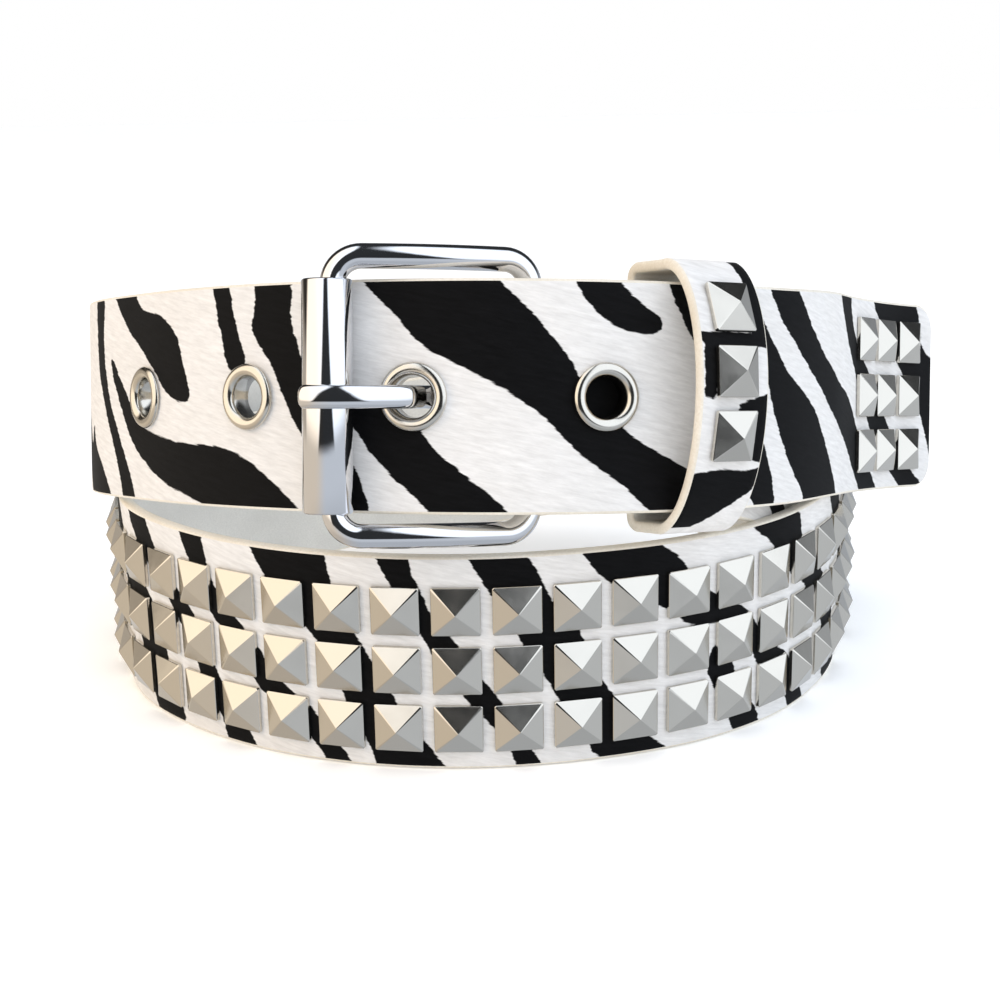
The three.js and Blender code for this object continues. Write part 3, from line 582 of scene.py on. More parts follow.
def printed_hide(colours):
    """Pony hide: cow hide with its short hair left on, bleached and printed with zebra stripes.

    The hair gives it a soft sheen, fine streaks that all lie one way, painted as shadow between the white
    hairs and as highlights on the black ones, and ragged stripe edges.
    """
    material, tree, output = new_material("printed hide")
    place = add(tree, "ShaderNodeUVMap", uv_map="strap").outputs["UV"]
    stripe = add(tree, "ShaderNodeAttribute", attribute_name="stripe").outputs["Fac"]
    # Hairs are about 0.1 mm thick and 5 mm long. They are drawn 0.35 mm thick so that they show.
    lying = add(tree, "ShaderNodeMapping", {"Vector": place, "Rotation": (0, 0, 0.22)})
    lying = add(tree, "ShaderNodeMapping", {"Vector": lying.outputs[0], "Scale": (0.16, 1, 1)})
    hair = noise(tree, lying.outputs[0], 0.7, 3, 0.65)
    tufts = noise(tree, lying.outputs[0], 2.6, 2, 0.6)
    patches = noise(tree, place, 14, 2)
    ragged = add(tree, "ShaderNodeMath",
                 {0: hair.outputs["Fac"], 1: 0.9, 2: stripe}, operation="MULTIPLY_ADD")
    ragged = add(tree, "ShaderNodeMath",
                 {0: tufts.outputs["Fac"], 1: 0.9, 2: ragged.outputs[0]}, operation="MULTIPLY_ADD")
    edge = add(tree, "ShaderNodeMapRange",
               {"Value": ragged.outputs[0], "From Min": 0.76, "From Max": 1.04},
               interpolation_type="SMOOTHSTEP")
    # The hair streaks paint shadow between the white hairs and highlights on the black hairs.
    streaks = add(tree, "ShaderNodeMapRange",
                  {"Value": hair.outputs["Fac"], "From Min": 0.3, "From Max": 0.7})
    pale = add(tree, "ShaderNodeMix", {
        "Factor": patches.outputs["Fac"], 6: linear(colours["pale hair"]),
        7: linear(colours["pale hair shade"])}, data_type="RGBA")
    pale_streaks = add(tree, "ShaderNodeMix", {
        "Factor": streaks.outputs[0], 6: linear(colours["hair shadow"]), 7: pale.outputs[2]},
        data_type="RGBA")
    soft_pale = add(tree, "ShaderNodeMix", {
        "Factor": 0.55, 6: pale_streaks.outputs[2], 7: pale.outputs[2]}, data_type="RGBA")
    black = add(tree, "ShaderNodeMix", {
        "Factor": streaks.outputs[0], 6: linear(colours["black hair"]),
        7: linear(colours["black hair shine"])}, data_type="RGBA")
    colour = add(tree, "ShaderNodeMix", {
        "Factor": edge.outputs[0], 6: black.outputs[2], 7: soft_pale.outputs[2]}, data_type="RGBA")
    bump = add(tree, "ShaderNodeBump",
               {"Strength": 0.35, "Distance": 0.15 * MM, "Height": hair.outputs["Fac"]})
    shader = add(tree, "ShaderNodeBsdfPrincipled", {
        "Base Color": colour.outputs[2], "Roughness": 0.72, "IOR": 1.45, "Specular IOR Level": 0.18,
        "Sheen Weight": 0.04, "Sheen Roughness": 0.4, "Normal": bump.outputs[0]})
    tree.links.new(shader.outputs[0], output.inputs[0])
    return material


def split_leather(name, colour, shade, grain, roughness):
    """Bonded or split leather: the matt, slightly mottled back and cut edges of the strap."""
    material, tree, output = new_material(name)
    place = add(tree, "ShaderNodeTexCoord").outputs["Object"]
    fibres = noise(tree, place, grain, 4, 0.7)
    patches = noise(tree, place, 18, 2)
    amount = add(tree, "ShaderNodeMath",
                 {0: fibres.outputs["Fac"], 1: patches.outputs["Fac"]}, operation="MULTIPLY")
    spread = add(tree, "ShaderNodeMapRange",
                 {"Value": amount.outputs[0], "From Min": 0.12, "From Max": 0.4})
    mixed = add(tree, "ShaderNodeMix",
                {"Factor": spread.outputs[0], 6: linear(shade), 7: linear(colour)},
                data_type="RGBA")
    bump = add(tree, "ShaderNodeBump",
               {"Strength": 0.4, "Distance": 0.12 * MM, "Height": fibres.outputs["Fac"]})
    shader = add(tree, "ShaderNodeBsdfPrincipled", {
        "Base Color": mixed.outputs[2], "Roughness": roughness, "IOR": 1.5,
        "Normal": bump.outputs[0]})
    tree.links.new(shader.outputs[0], output.inputs[0])
    return material


def plated_metal(name, colour, roughness, wear):
    """Steel with a nickel or chrome plating: a mirror that pressing and handling have dulled a little."""
    material, tree, output = new_material(name)
    place = add(tree, "ShaderNodeTexCoord").outputs["Object"]
    handling = noise(tree, place, 6, 3, 0.6)
    rough = add(tree, "ShaderNodeMapRange", {
        "Value": handling.outputs["Fac"], "From Min": 0.3, "From Max": 0.7,
        "To Min": roughness - wear, "To Max": roughness + wear})
    ripple = noise(tree, place, 2.2, 1)
    bump = add(tree, "ShaderNodeBump",
               {"Strength": 0.12, "Distance": 0.06 * MM, "Height": ripple.outputs["Fac"]})
    shader = add(tree, "ShaderNodeBsdfPrincipled", {
        "Base Color": linear(colour), "Metallic": 1.0, "Roughness": rough.outputs[0],
        "Normal": bump.outputs[0]})
    tree.links.new(shader.outputs[0], output.inputs[0])
    return material


def studio_paper(colour, glow):
    """Seamless background paper: matt, with a faint tooth, and lit so brightly that it turns white."""
    material, tree, output = new_material("studio paper")
    place = add(tree, "ShaderNodeTexCoord").outputs["Object"]
    tooth = noise(tree, place, 1.5, 2)
    bump = add(tree, "ShaderNodeBump",
               {"Strength": 0.05, "Distance": 0.05 * MM, "Height": tooth.outputs["Fac"]})
    shader = add(tree, "ShaderNodeBsdfPrincipled", {
        "Base Color": linear(colour), "Roughness": 0.9, "Specular IOR Level": 0.1,
        "Emission Color": (1, 1, 1, 1), "Emission Strength": glow, "Normal": bump.outputs[0]})
    tree.links.new(shader.outputs[0], output.inputs[0])
    return material


# ---- Settings ----
class BeltFinish(bpy.types.PropertyGroup):
    """Colours of the belt's finishes, as hex sRGB values."""

    pale_hair: bpy.props.StringProperty(
        name="Pale Hair", description="White hair of the hide", default="#ECEBEA")
    pale_hair_shade: bpy.props.StringProperty(
        name="Pale Hair Shade", description="Slightly yellowed patches", default="#E2E0DD")
    hair_shadow: bpy.props.StringProperty(
        name="Hair Shadow", description="Gaps between white hairs", default="#B9B7B4")
    black_hair: bpy.props.StringProperty(
        name="Black Hair", description="Printed stripes", default="#020203")
    black_hair_shine: bpy.props.StringProperty(
        name="Black Hair Shine", description="Lit hairs in the stripes", default="#09090B")
    lining: bpy.props.StringProperty(
        name="Back", description="Back of the strap", default="#E0DED8")
    cut_edge: bpy.props.StringProperty(
        name="Cut Edge", description="Edges of the strap and keeper", default="#ECE7DC")
    nickel: bpy.props.StringProperty(
        name="Nickel", description="Studs and eyelets", default="#D9D4CA")
    chrome: bpy.props.StringProperty(
        name="Chrome", description="Buckle", default="#E4E4E6")


class BeltDetail(bpy.types.PropertyGroup):
    """Sizes that the visible pieces add to the belt's own."""

    strap_step: bpy.props.FloatProperty(
        name="Strap Step", description="Length of the strap's faces", default=1.25 * MM, unit="LENGTH")
    edge_round: bpy.props.FloatProperty(
        name="Edge Round", description="Rounding of the cut edges", default=0.45 * MM, unit="LENGTH")
    stud_pitch_across: bpy.props.FloatProperty(
        name="Row Pitch", description="Between the rows of studs", default=10.5 * MM, unit="LENGTH")
    stud_rim: bpy.props.FloatProperty(
        name="Stud Rim", description="Height of a stud's upright rim", default=0.7 * MM, unit="LENGTH")
    rod_sides: bpy.props.IntProperty(
        name="Rod Sides", description="Faces round the buckle's rod", default=28)


class BeltStudio(bpy.types.PropertyGroup):
    """Camera, lights and floor."""

    camera_place: bpy.props.FloatVectorProperty(
        name="Camera Place", description="From the middle of the coil", subtype="TRANSLATION",
        unit="LENGTH", default=(0.00599, -0.321, 0.1135))
    camera_down: bpy.props.FloatProperty(
        name="Camera Down", description="How far the camera looks down", subtype="ANGLE",
        default=0.2527)
    camera_roll: bpy.props.FloatProperty(
        name="Camera Roll", description="Roll about the line of sight", subtype="ANGLE",
        default=-0.0193)
    focal_length: bpy.props.FloatProperty(
        name="Focal Length", description="For a 36 mm sensor, in millimetres", default=57.53)
    key_strength: bpy.props.FloatProperty(
        name="Key Strength", description="Watts of the soft light on the left", default=2.6)
    key_colour: bpy.props.StringProperty(
        name="Key Colour", description="Colour of the soft light on the left", default="#FFDDB4")
    top_strength: bpy.props.FloatProperty(
        name="Top Strength", description="Watts of the soft light over the coil", default=1.6)
    fill_strength: bpy.props.FloatProperty(
        name="Fill Strength", description="Watts of the soft light on the right", default=2.0)
    room_strength: bpy.props.FloatProperty(
        name="Room Strength", description="Even light from all round", default=1.02)
    warm: bpy.props.StringProperty(
        name="Warm Side", description="Light from the left", default="#FFF0DC")
    cool: bpy.props.StringProperty(
        name="Cool Side", description="Light from the right", default="#EAF2FD")
    paper: bpy.props.StringProperty(
        name="Paper", description="Colour of the floor", default="#FAFAF9")
    paper_glow: bpy.props.FloatProperty(
        name="Paper Glow", description="Light added to the paper's own", default=0.16)


def finish_colours():
    """The finish settings as a plain table."""
    finish = bpy.context.scene.belt_finish
    names = ("pale hair", "pale hair shade", "hair shadow", "black hair", "black hair shine")
    return {name: getattr(finish, name.replace(" ", "_")) for name in names}


def shared_material(name, make):
    """The material of that name, made once."""
    return bpy.data.materials.get(name) or make()


def hide_materials():
    """Printed face, cut edge and back."""
    finish = bpy.context.scene.belt_finish
    return [
        shared_material("printed hide", lambda: printed_hide(finish_colours())),
        shared_material("cut edge", lambda: split_leather(
            "cut edge", finish.cut_edge, "#D8D0C0", 0.5, 0.7)),
        shared_material("split back", lambda: split_leather(
            "split back", finish.lining, "#CCCAC4", 0.35, 0.85)),
    ]


def nickel():
    """Nickel plating of the pressed studs and eyelets."""
    finish = bpy.context.scene.belt_finish
    return shared_material("nickel plating", lambda: plated_metal(
        "nickel plating", finish.nickel, 0.17, 0.04))


def chrome():
    """Chrome plating of the buckle."""
    finish = bpy.context.scene.belt_finish
    return shared_material("chrome plating", lambda: plated_metal(
        "chrome plating", finish.chrome, 0.07, 0.02))


# ---- Strap ----
PRINTED, EDGE, BACK = 0, 1, 2


def section_profile(thick, edge_round, columns):
    """Half widths as shares and depths of a strap's section, once round, with a part per span."""
    inset = edge_round / HALF
    front = np.linspace(-1 + inset, 1 - inset, columns)
    turn = [(1 - inset * 0.3, edge_round * 0.3), (1, edge_round), (1, thick - edge_round),
            (1 - inset * 0.3, thick - edge_round * 0.3)]
    profile = [(x, 0) for x in front] + turn
    profile += [(x, thick) for x in front[::-1]] + [(-x, thick - out) for x, out in turn]
    edge_spans = len(turn) + 1
    spans = [PRINTED] * (columns - 1) + [EDGE] * edge_spans
    spans += [BACK] * (columns - 1) + [EDGE] * edge_spans
    return profile, spans


def strap_distances(step):
    """Distances along the strap, closer together in the tip's round corners."""
    start_of_tip = route.tip - TIP_RADIUS
    plain = np.linspace(0, start_of_tip, round(start_of_tip / step) + 1)
    turns = np.linspace(0, math.pi / 2, 9)[1:]
    return np.concatenate([plain, start_of_tip + TIP_RADIUS * np.sin(turns)])


def half_widths(distances):
    """Half the strap's width, less at the tip's round corners."""
    past = np.clip(distances - (route.tip - TIP_RADIUS), 0, TIP_RADIUS)
    return HALF - TIP_RADIUS + np.sqrt(np.maximum(TIP_RADIUS**2 - past**2, 0))


def eyelet_places():
    """Places of the eyelets along the upper front."""
    return [TONGUE_EYELET_PLACE + step * EYELET_PITCH for step in (1, 0, -1, -2)]


def strap_openings(distances, across, frames):
    """Which cells of the strap's grid the eyelets and the tongue's slot leave open."""
    mid_s = (distances[1:] + distances[:-1]) / 2
    mid_t = (across[:, 1:] + across[:, :-1]) / 2
    mid_t = (mid_t[1:] + mid_t[:-1]) / 2
    cells = np.zeros(mid_t.shape, bool)
    radius = EYELET_BORE / 2 + EYELET_WALL + HOLE_ROOM
    for place in eyelet_places():
        gap = np.hypot(mid_s[:, None] - route.upper_middle - place, mid_t)
        cells |= gap < radius
    bar = route.back_bar
    middle = (frames["place"][1:] + frames["place"][:-1]) / 2
    reach = np.sum((middle - bar["place"]) * bar["along"], axis=1)
    in_fold = (mid_s < route.fold_end) & (reach < EYE_RADIUS + SLOT_REACH)
    cells |= in_fold[:, None] & (np.abs(mid_t) < TONGUE_WIDTH / 2 + SLOT_ROOM)
    return cells


class BELT_OT_strap(bpy.types.Operator):
    """The hide strap: two turns, the fold round the back bar and the round-cornered tip."""

    bl_idname = "belt.strap"
    bl_label = "Strap"

    def execute(self, context):
        detail = context.scene.belt_detail
        columns = 37
        profile, spans = section_profile(STRAP_THICK, detail.edge_round / MM, columns)
        distances = strap_distances(detail.strap_step / MM)
        frames = route.strap.frames(distances)
        half = half_widths(distances)
        shares = np.array([share for share, _ in profile])
        depths = np.array([depth for _, depth in profile])
        across = half[:, None] * shares
        points = (
            frames["place"][:, None]
            + frames["across"][:, None] * across[..., None]
            - frames["out"][:, None] * depths[None, :, None]
        )
        count, rings = len(profile), len(distances)
        open_cells = strap_openings(distances, across[:, :columns], frames)
        last = columns - 1
        back_start = spans.index(BACK)
        faces, parts = [], []

        def put(face, part):
            faces.append(face)
            parts.append(part)

        for i in range(rings - 1):
            here, after = i * count, (i + 1) * count
            for j in range(count):
                k = (j + 1) % count
                column = j if spans[j] == PRINTED else last - 1 - (j - back_start)
                if spans[j] != EDGE and open_cells[i, column]:
                    continue
                put((here + k, here + j, after + j, after + k), spans[j])
        self.wall_openings(open_cells, count, columns, back_start, put)
        put(tuple(range(count)), EDGE)
        put(tuple(range((rings - 1) * count, rings * count))[::-1], EDGE)
        flat = points.reshape(-1, 3)
        strap = make_piece("hide_strap", flat, faces, hide_materials(), parts)
        along = np.repeat(distances, count)
        set_map(strap, "strap", np.stack([along, across.ravel()], -1) * MM)
        set_number(strap, "stripe", stripe_distance(
            np.stack([along, across.ravel()], -1), strap_stripes()))
        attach(strap, "belt")
        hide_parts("strap")
        return {"FINISHED"}

    @staticmethod
    def wall_openings(open_cells, count, columns, back_start, put):
        """Joins the printed face to the back round each opening."""
        rings, cells = open_cells.shape
        last = columns - 1

        def front(i, j):
            return i * count + j

        def back(i, j):
            return i * count + back_start + (last - j)

        for i, j in zip(*np.nonzero(open_cells)):
            sides = [
                ((i - 1, j), (i, j), (i, j + 1)),
                ((i + 1, j), (i + 1, j + 1), (i + 1, j)),
                ((i, j - 1), (i + 1, j), (i, j)),
                ((i, j + 1), (i, j + 1), (i + 1, j + 1)),
            ]
            for (ni, nj), a, b in sides:
                if 0 <= ni < rings and 0 <= nj < cells and open_cells[ni, nj]:
                    continue
                put((front(*a), front(*b), back(*b), back(*a)), EDGE)


# ---- What repeats ----
def tree_input(tree, name, kind, default=None):
    """Adds an input to a geometry tree."""
    socket = tree.interface.new_socket(name, in_out="INPUT", socket_type=kind)
    if default is not None:
        socket.default_value = default


def setting_tree():
    """Sets copies of one form in rows on points that carry their own frame."""
    tree = bpy.data.node_groups.get("Set in Rows")
    if tree:
        return tree
    tree = bpy.data.node_groups.new("Set in Rows", "GeometryNodeTree")
    tree_input(tree, "Geometry", "NodeSocketGeometry")
    tree_input(tree, "Form", "NodeSocketObject")
    tree_input(tree, "Rows", "NodeSocketInt", 1)
    tree_input(tree, "Row Pitch", "NodeSocketFloat", 0.01)
    tree_input(tree, "Row Shift", "NodeSocketFloat", 0.0)
    tree_input(tree, "Finish", "NodeSocketMaterial")
    tree.interface.new_socket("Geometry", in_out="OUTPUT", socket_type="NodeSocketGeometry")
    given = add(tree, "NodeGroupInput").outputs
    ways = {
        name: add(tree, "GeometryNodeInputNamedAttribute", {"Name": name},
                  data_type="FLOAT_VECTOR").outputs["Attribute"]
        for name in ("along", "across", "out")
    }
    points = add(tree, "GeometryNodeMeshToPoints", {"Mesh": given["Geometry"]})
    rows = add(tree, "GeometryNodeDuplicateElements",
               {"Geometry": points.outputs[0], "Amount": given["Rows"]}, domain="POINT")
    last = add(tree, "ShaderNodeMath", {0: given["Rows"], 1: 1.0}, operation="SUBTRACT")
    middle = add(tree, "ShaderNodeMath", {0: last.outputs[0], 1: 0.5}, operation="MULTIPLY")
    step = add(tree, "ShaderNodeMath",
               {0: rows.outputs["Duplicate Index"], 1: middle.outputs[0]}, operation="SUBTRACT")
    reach = add(tree, "ShaderNodeMath", {
        0: step.outputs[0], 1: given["Row Pitch"], 2: given["Row Shift"]}, operation="MULTIPLY_ADD")
    offset = add(tree, "ShaderNodeVectorMath",
                 {0: ways["across"], "Scale": reach.outputs[0]}, operation="SCALE")
    placed = add(tree, "GeometryNodeSetPosition",
                 {"Geometry": rows.outputs["Geometry"], "Offset": offset.outputs[0]})
    turn = add(tree, "FunctionNodeAxesToRotation",
               {"Primary Axis": ways["out"], "Secondary Axis": ways["along"]},
               primary_axis="Z", secondary_axis="X")
    form = add(tree, "GeometryNodeObjectInfo", {"Object": given["Form"]})
    copies = add(tree, "GeometryNodeInstanceOnPoints", {
        "Points": placed.outputs[0], "Instance": form.outputs["Geometry"],
        "Rotation": turn.outputs[0]})
    real = add(tree, "GeometryNodeRealizeInstances", {0: copies.outputs[0]})
    finished = add(tree, "GeometryNodeSetMaterial",
                   {"Geometry": real.outputs[0], "Material": given["Finish"]})
    add(tree, "NodeGroupOutput", {"Geometry": finished.outputs[0]})
    return tree


def form_object(name, rings, closed_ends=True, looped=False, smooth=False):
    """A small form about its own origin, in metres, from rings of points in millimetres."""
    count = len(rings[0])
    points = np.array(rings, float).reshape(-1, 3) * MM
    faces = band_faces(len(rings), count, closed=looped)
    if closed_ends:
        faces.append(tuple(range(count))[::-1])
        faces.append(tuple(range((len(rings) - 1) * count, len(rings) * count)))
    mesh = bpy.data.meshes.new(name)
    mesh.from_pydata([tuple(p) for p in points], [], faces)
    mesh.polygons.foreach_set("use_smooth", [smooth] * len(faces))
    form = bpy.data.objects.new(name, mesh)
    bpy.context.collection.objects.link(form)
    return form


def set_in_rows(name, form, frames, finish, rows=1, pitch=0.0, shift=0.0):
    """A plain mesh of the form's copies on the frames, made by the geometry tree."""
    count = len(frames["place"])
    carrier = make_piece(name + "_points", frames["place"], [])
    for way in ("along", "across", "out"):
        attribute = carrier.data.attributes.new(way, "FLOAT_VECTOR", "POINT")
        attribute.data.foreach_set("vector", np.asarray(frames[way], np.float32).ravel())
    tree = setting_tree()
    modifier = carrier.modifiers.new("Set in Rows", "NODES")
    modifier.node_group = tree
    values = {"Form": form, "Rows": rows, "Row Pitch": pitch * MM, "Row Shift": shift * MM,
              "Finish": finish}
    for item in tree.interface.items_tree:
        if item.in_out == "INPUT" and item.name in values:
            modifier[item.identifier] = values[item.name]
    graph = bpy.context.evaluated_depsgraph_get()
    mesh = bpy.data.meshes.new_from_object(carrier.evaluated_get(graph), depsgraph=graph)
    if len(mesh.polygons) != count * rows * len(form.data.polygons):
        raise RuntimeError(f"{name}: the geometry tree made {len(mesh.polygons)} faces")
    mesh.name = name
    piece = bpy.data.objects.new(name, mesh)
    bpy.context.collection.objects.link(piece)
    for spare in (carrier, form):
        bpy.data.objects.remove(spare, do_unlink=True)
    return piece


def join_frames(frames):
    """A list of single frames as one set of arrays."""
    return {key: np.array([at[key] for at in frames]) for key in ("place", "along", "across", "out")}


def stud_form():
    """A pressed pyramid stud: a low upright rim and four flat faces with sharp, worn ridges."""
    detail = bpy.context.scene.belt_detail
    rim = detail.stud_rim / MM
    side = STUD_SIDE / 2
    ridge, shoulder, peak = 0.12, 0.08, 0.1

    def ring(half, cut, height):
        flat = half - cut
        corners = [(half, -flat), (half, flat), (flat, half), (-flat, half),
                   (-half, flat), (-half, -flat), (-flat, -half), (flat, -half)]
        return [(x, y, height) for x, y in corners]

    return form_object("stud_form", [
        ring(side, ridge * 2, 0),
        ring(side, ridge * 2, rim - shoulder),
        ring(side - shoulder, ridge * 2, rim),
        ring(peak, peak * 0.6, STUD_HEIGHT - peak * 0.3),
        ring(peak * 0.4, peak * 0.2, STUD_HEIGHT),
    ])


class BELT_OT_studs(bpy.types.Operator):
    """Pyramid studs of the strap's field, the tip and the keeper."""

    bl_idname = "belt.studs"
    bl_label = "Studs"

    def execute(self, context):
        pitch = context.scene.belt_detail.stud_pitch_across / MM
        columns = np.arange(FIELD["first"], FIELD["last"] + 1) + FIELD["shift"]
        field = route.strap.frames(route.lower_middle + columns * STUD_PITCH)
        studs = set_in_rows("stud_field", stud_form(), field, nickel(), 3, pitch, ROW_SHIFT)
        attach(studs, "belt")
        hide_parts("strap")
        first = TAIL_LENGTH - TIP_MARGIN - STUD_SIDE / 2
        tip = join_frames([
            moved(route.upper(first - column * TIP_STUD_PITCH), out=TIP_SAG + TOUCH_GAP / 2)
            for column in range(3)])
        studs = set_in_rows("tip_studs", stud_form(), tip, nickel(), 3, TIP_ROW_PITCH)
        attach(studs, "belt")
        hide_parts(*[f"tip_stud_{i}" for i in range(1, 10)])
        keeper = join_frames([
            keeper_face(row * KEEPER_STUD_PITCH + KEEPER_STUD_SHIFT) for row in (1, 0, -1)])
        studs = set_in_rows("keeper_studs", stud_form(), keeper, nickel())
        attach(studs, "belt")
        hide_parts(*[f"keeper_stud_{i}" for i in range(1, 4)])
        return {"FINISHED"}


class BELT_OT_eyelets(bpy.types.Operator):
    """Rolled eyelets with their barrels and back flanges."""

    bl_idname = "belt.eyelets"
    bl_label = "Eyelets"

    def execute(self, context):
        bore, rim = EYELET_BORE / 2, EYELET_OUTER / 2
        back = -STRAP_THICK - EYELET_BACK_GAP
        barrel = bore + EYELET_WALL
        profile = [
            (bore, back - EYELET_WALL + 0.15), (bore + 0.2, back - EYELET_WALL),
            (rim - 0.7, back - EYELET_WALL), (rim - 0.5, back - EYELET_WALL / 2),
            (rim - 0.7, back), (barrel, back), (barrel, 0.1), (rim - 0.25, 0.1), (rim - 0.05, 0.2),
            (rim, 0.42), (rim - 0.12, 0.7), (rim - 0.45, 0.98), (rim - 0.95, 1.12),
            (rim - 1.45, 1.05), (rim - 1.85, 0.8), (bore + 0.05, 0.4), (bore, -0.1),
        ]
        sides = 48
        rings = []
        for radius, out in profile:
            turns = np.arange(sides) * 2 * math.pi / sides
            rings.append([(radius * math.cos(a), radius * math.sin(a), out) for a in turns])
        form = form_object("eyelet_form", rings, closed_ends=False, looped=True, smooth=True)
        places = join_frames([route.upper(place) for place in eyelet_places()])
        eyelets = set_in_rows("rolled_eyelets", form, places, nickel())
        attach(eyelets, "belt")
        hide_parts(*[f"eyelet_{i}" for i in range(1, 5)])
        return {"FINISHED"}


# ---- Keeper ----
def keeper_outline(wall):
    """The keeper's outline as (across, out) points, once round from its lower back bend."""
    bend = KEEPER_BEND + wall
    flat = KEEPER_HALF - KEEPER_BEND
    back = KEEPER_BACK - wall
    points = []

    def corner(across, out, start):
        for i in range(9):
            turn = math.radians(start + i * 90 / 8)
            points.append((across + bend * math.cos(turn), out + bend * math.sin(turn)))

    for share in np.linspace(-1, 1, 20)[:-1]:
        points.append((flat * share, back))
    corner(flat, back + bend, -90)
    for turn in np.linspace(0, math.pi, 76):
        points.append((
            (KEEPER_HALF + wall) * math.cos(turn) + KEEPER_SKEW * math.sin(turn),
            (KEEPER_ARCH + wall) * math.sin(turn) - KEEPER_SIDES))
    corner(-flat, back + bend, 180)
    return np.array(points[:-1])


def keeper_face(across):
    """Frame on the keeper's front face, turned with its arch."""
    at = route.upper(KEEPER_PLACE)
    half, arch = KEEPER_HALF + KEEPER_THICK, KEEPER_ARCH + KEEPER_THICK
    turn = math.atan2(KEEPER_SKEW, half) + math.acos(across / math.hypot(half, KEEPER_SKEW))
    slope = -math.atan2(arch * math.cos(turn), half * math.sin(turn) - KEEPER_SKEW * math.cos(turn))
    lean = np.array(Matrix.Rotation(slope, 3, Vector(at["along"])))
    return {
        "place": shifted(
            at, across=across, out=arch * math.sin(turn) - KEEPER_SIDES + TOUCH_GAP / 3),
        "along": at["along"],
        "across": lean @ at["across"],
        "out": lean @ at["out"],
    }


class BELT_OT_keeper(bpy.types.Operator):
    """The keeper: a band of the same hide round the strap's layers."""

    bl_idname = "belt.keeper"
    bl_label = "Keeper"

    def execute(self, context):
        at = route.upper(KEEPER_PLACE)
        outer, inner = keeper_outline(KEEPER_THICK), keeper_outline(0)
        half, soft = KEEPER_WIDTH / 2, 0.45
        columns = np.linspace(-half + soft, half - soft, 15)
        section = [(x, 0.0, PRINTED) for x in columns[:-1]]
        section += [(half - soft, 0.0, EDGE), (half - soft * 0.3, 0.12, EDGE), (half, 0.35, EDGE),
                    (half, 0.7, EDGE), (half - soft * 0.3, 0.93, EDGE)]
        section += [(x, 1.0, BACK) for x in columns[::-1][:-1]]
        section += [(-half + soft, 1.0, EDGE), (-half + soft * 0.3, 0.93, EDGE),
                    (-half, 0.7, EDGE), (-half, 0.35, EDGE), (-half + soft * 0.3, 0.12, EDGE)]
        points, marks = [], []
        for out_point, in_point in zip(outer, inner):
            for along, depth, _ in section:
                across, out = out_point + (in_point - out_point) * depth
                points.append(shifted(at, along, across, out))
                marks.append((along, across if out > 0 else FAR_FROM_PRINT))
        count = len(section)
        faces = [face[::-1] for face in band_faces(len(outer), count, closed=True)]
        parts = [section[j % count][2] for j in range(len(faces))]
        keeper = make_piece("hide_keeper", points, faces, hide_materials(), parts)
        marks = np.array(marks)
        set_map(keeper, "strap", marks * MM)
        set_number(keeper, "stripe", stripe_distance(marks, KEEPER_STRIPES))
        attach(keeper, "belt")
        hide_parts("keeper")
        return {"FINISHED"}


# ---- Buckle ----
def tube(points, radius, sides):
    """Rings of a round rod about a closed line of points."""
    line = np.array(points)
    ahead = unit(np.roll(line, -1, axis=0) - np.roll(line, 1, axis=0))
    guide = route.back_bar["out"]
    side = unit(np.cross(guide, ahead))
    face = np.cross(ahead, side)
    turns = np.arange(sides) * 2 * math.pi / sides
    rings = (
        line[:, None]
        + side[:, None] * (radius * np.cos(turns))[None, :, None]
        + face[:, None] * (radius * np.sin(turns))[None, :, None]
    )
    return rings.reshape(-1, 3)


def roller_place():
    """The roller's middle."""
    return shifted(route.upper(ROLLER_PLACE), out=ROLLER_OUT)


class BELT_OT_buckle_frame(bpy.types.Operator):
    """The buckle's frame: one round rod bent to a rounded, arched rectangle."""

    bl_idname = "belt.buckle_frame"
    bl_label = "Buckle Frame"

    def execute(self, context):
        bar = route.back_bar
        towards_back = unit(bar["place"] - roller_place())
        ahead = roller_place() + towards_back * ROLLER_PLAY - bar["place"]
        length = np.linalg.norm(ahead)
        ahead = ahead / length
        across = bar["across"]
        out = np.cross(across, ahead)
        half = (FRAME_INNER_HEIGHT + ROD) / 2
        corner = FRAME_CORNER
        plan = []

        def straight(start, end, count):
            for share in np.linspace(0, 1, count, endpoint=False):
                plan.append(np.array(start) * (1 - share) + np.array(end) * share)

        def bend(x, y, start):
            for i in range(12):
                turn = math.radians(start + i * 90 / 12)
                plan.append(np.array((x + corner * math.cos(turn), y + corner * math.sin(turn))))

        straight((corner, -half), (length - corner, -half), 20)
        bend(length - corner, corner - half, -90)
        straight((length, corner - half), (length, half - corner), 8)
        bend(length - corner, half - corner, 0)
        straight((length - corner, half), (corner, half), 20)
        bend(corner, half - corner, 90)
        straight((0, half - corner), (0, corner - half), 8)
        bend(corner, corner - half, 180)
        line = [
            bar["place"] + ahead * x + across * y + out * FRAME_ARCH * math.sin(math.pi * x / length)
            for x, y in plan]
        sides = context.scene.belt_detail.rod_sides
        rod = make_piece("frame_rod", tube(line, ROD / 2, sides),
                         band_faces(len(line), sides, closed=True), [chrome()])
        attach(rod, "belt")
        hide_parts("buckle_frame")
        return {"FINISHED"}


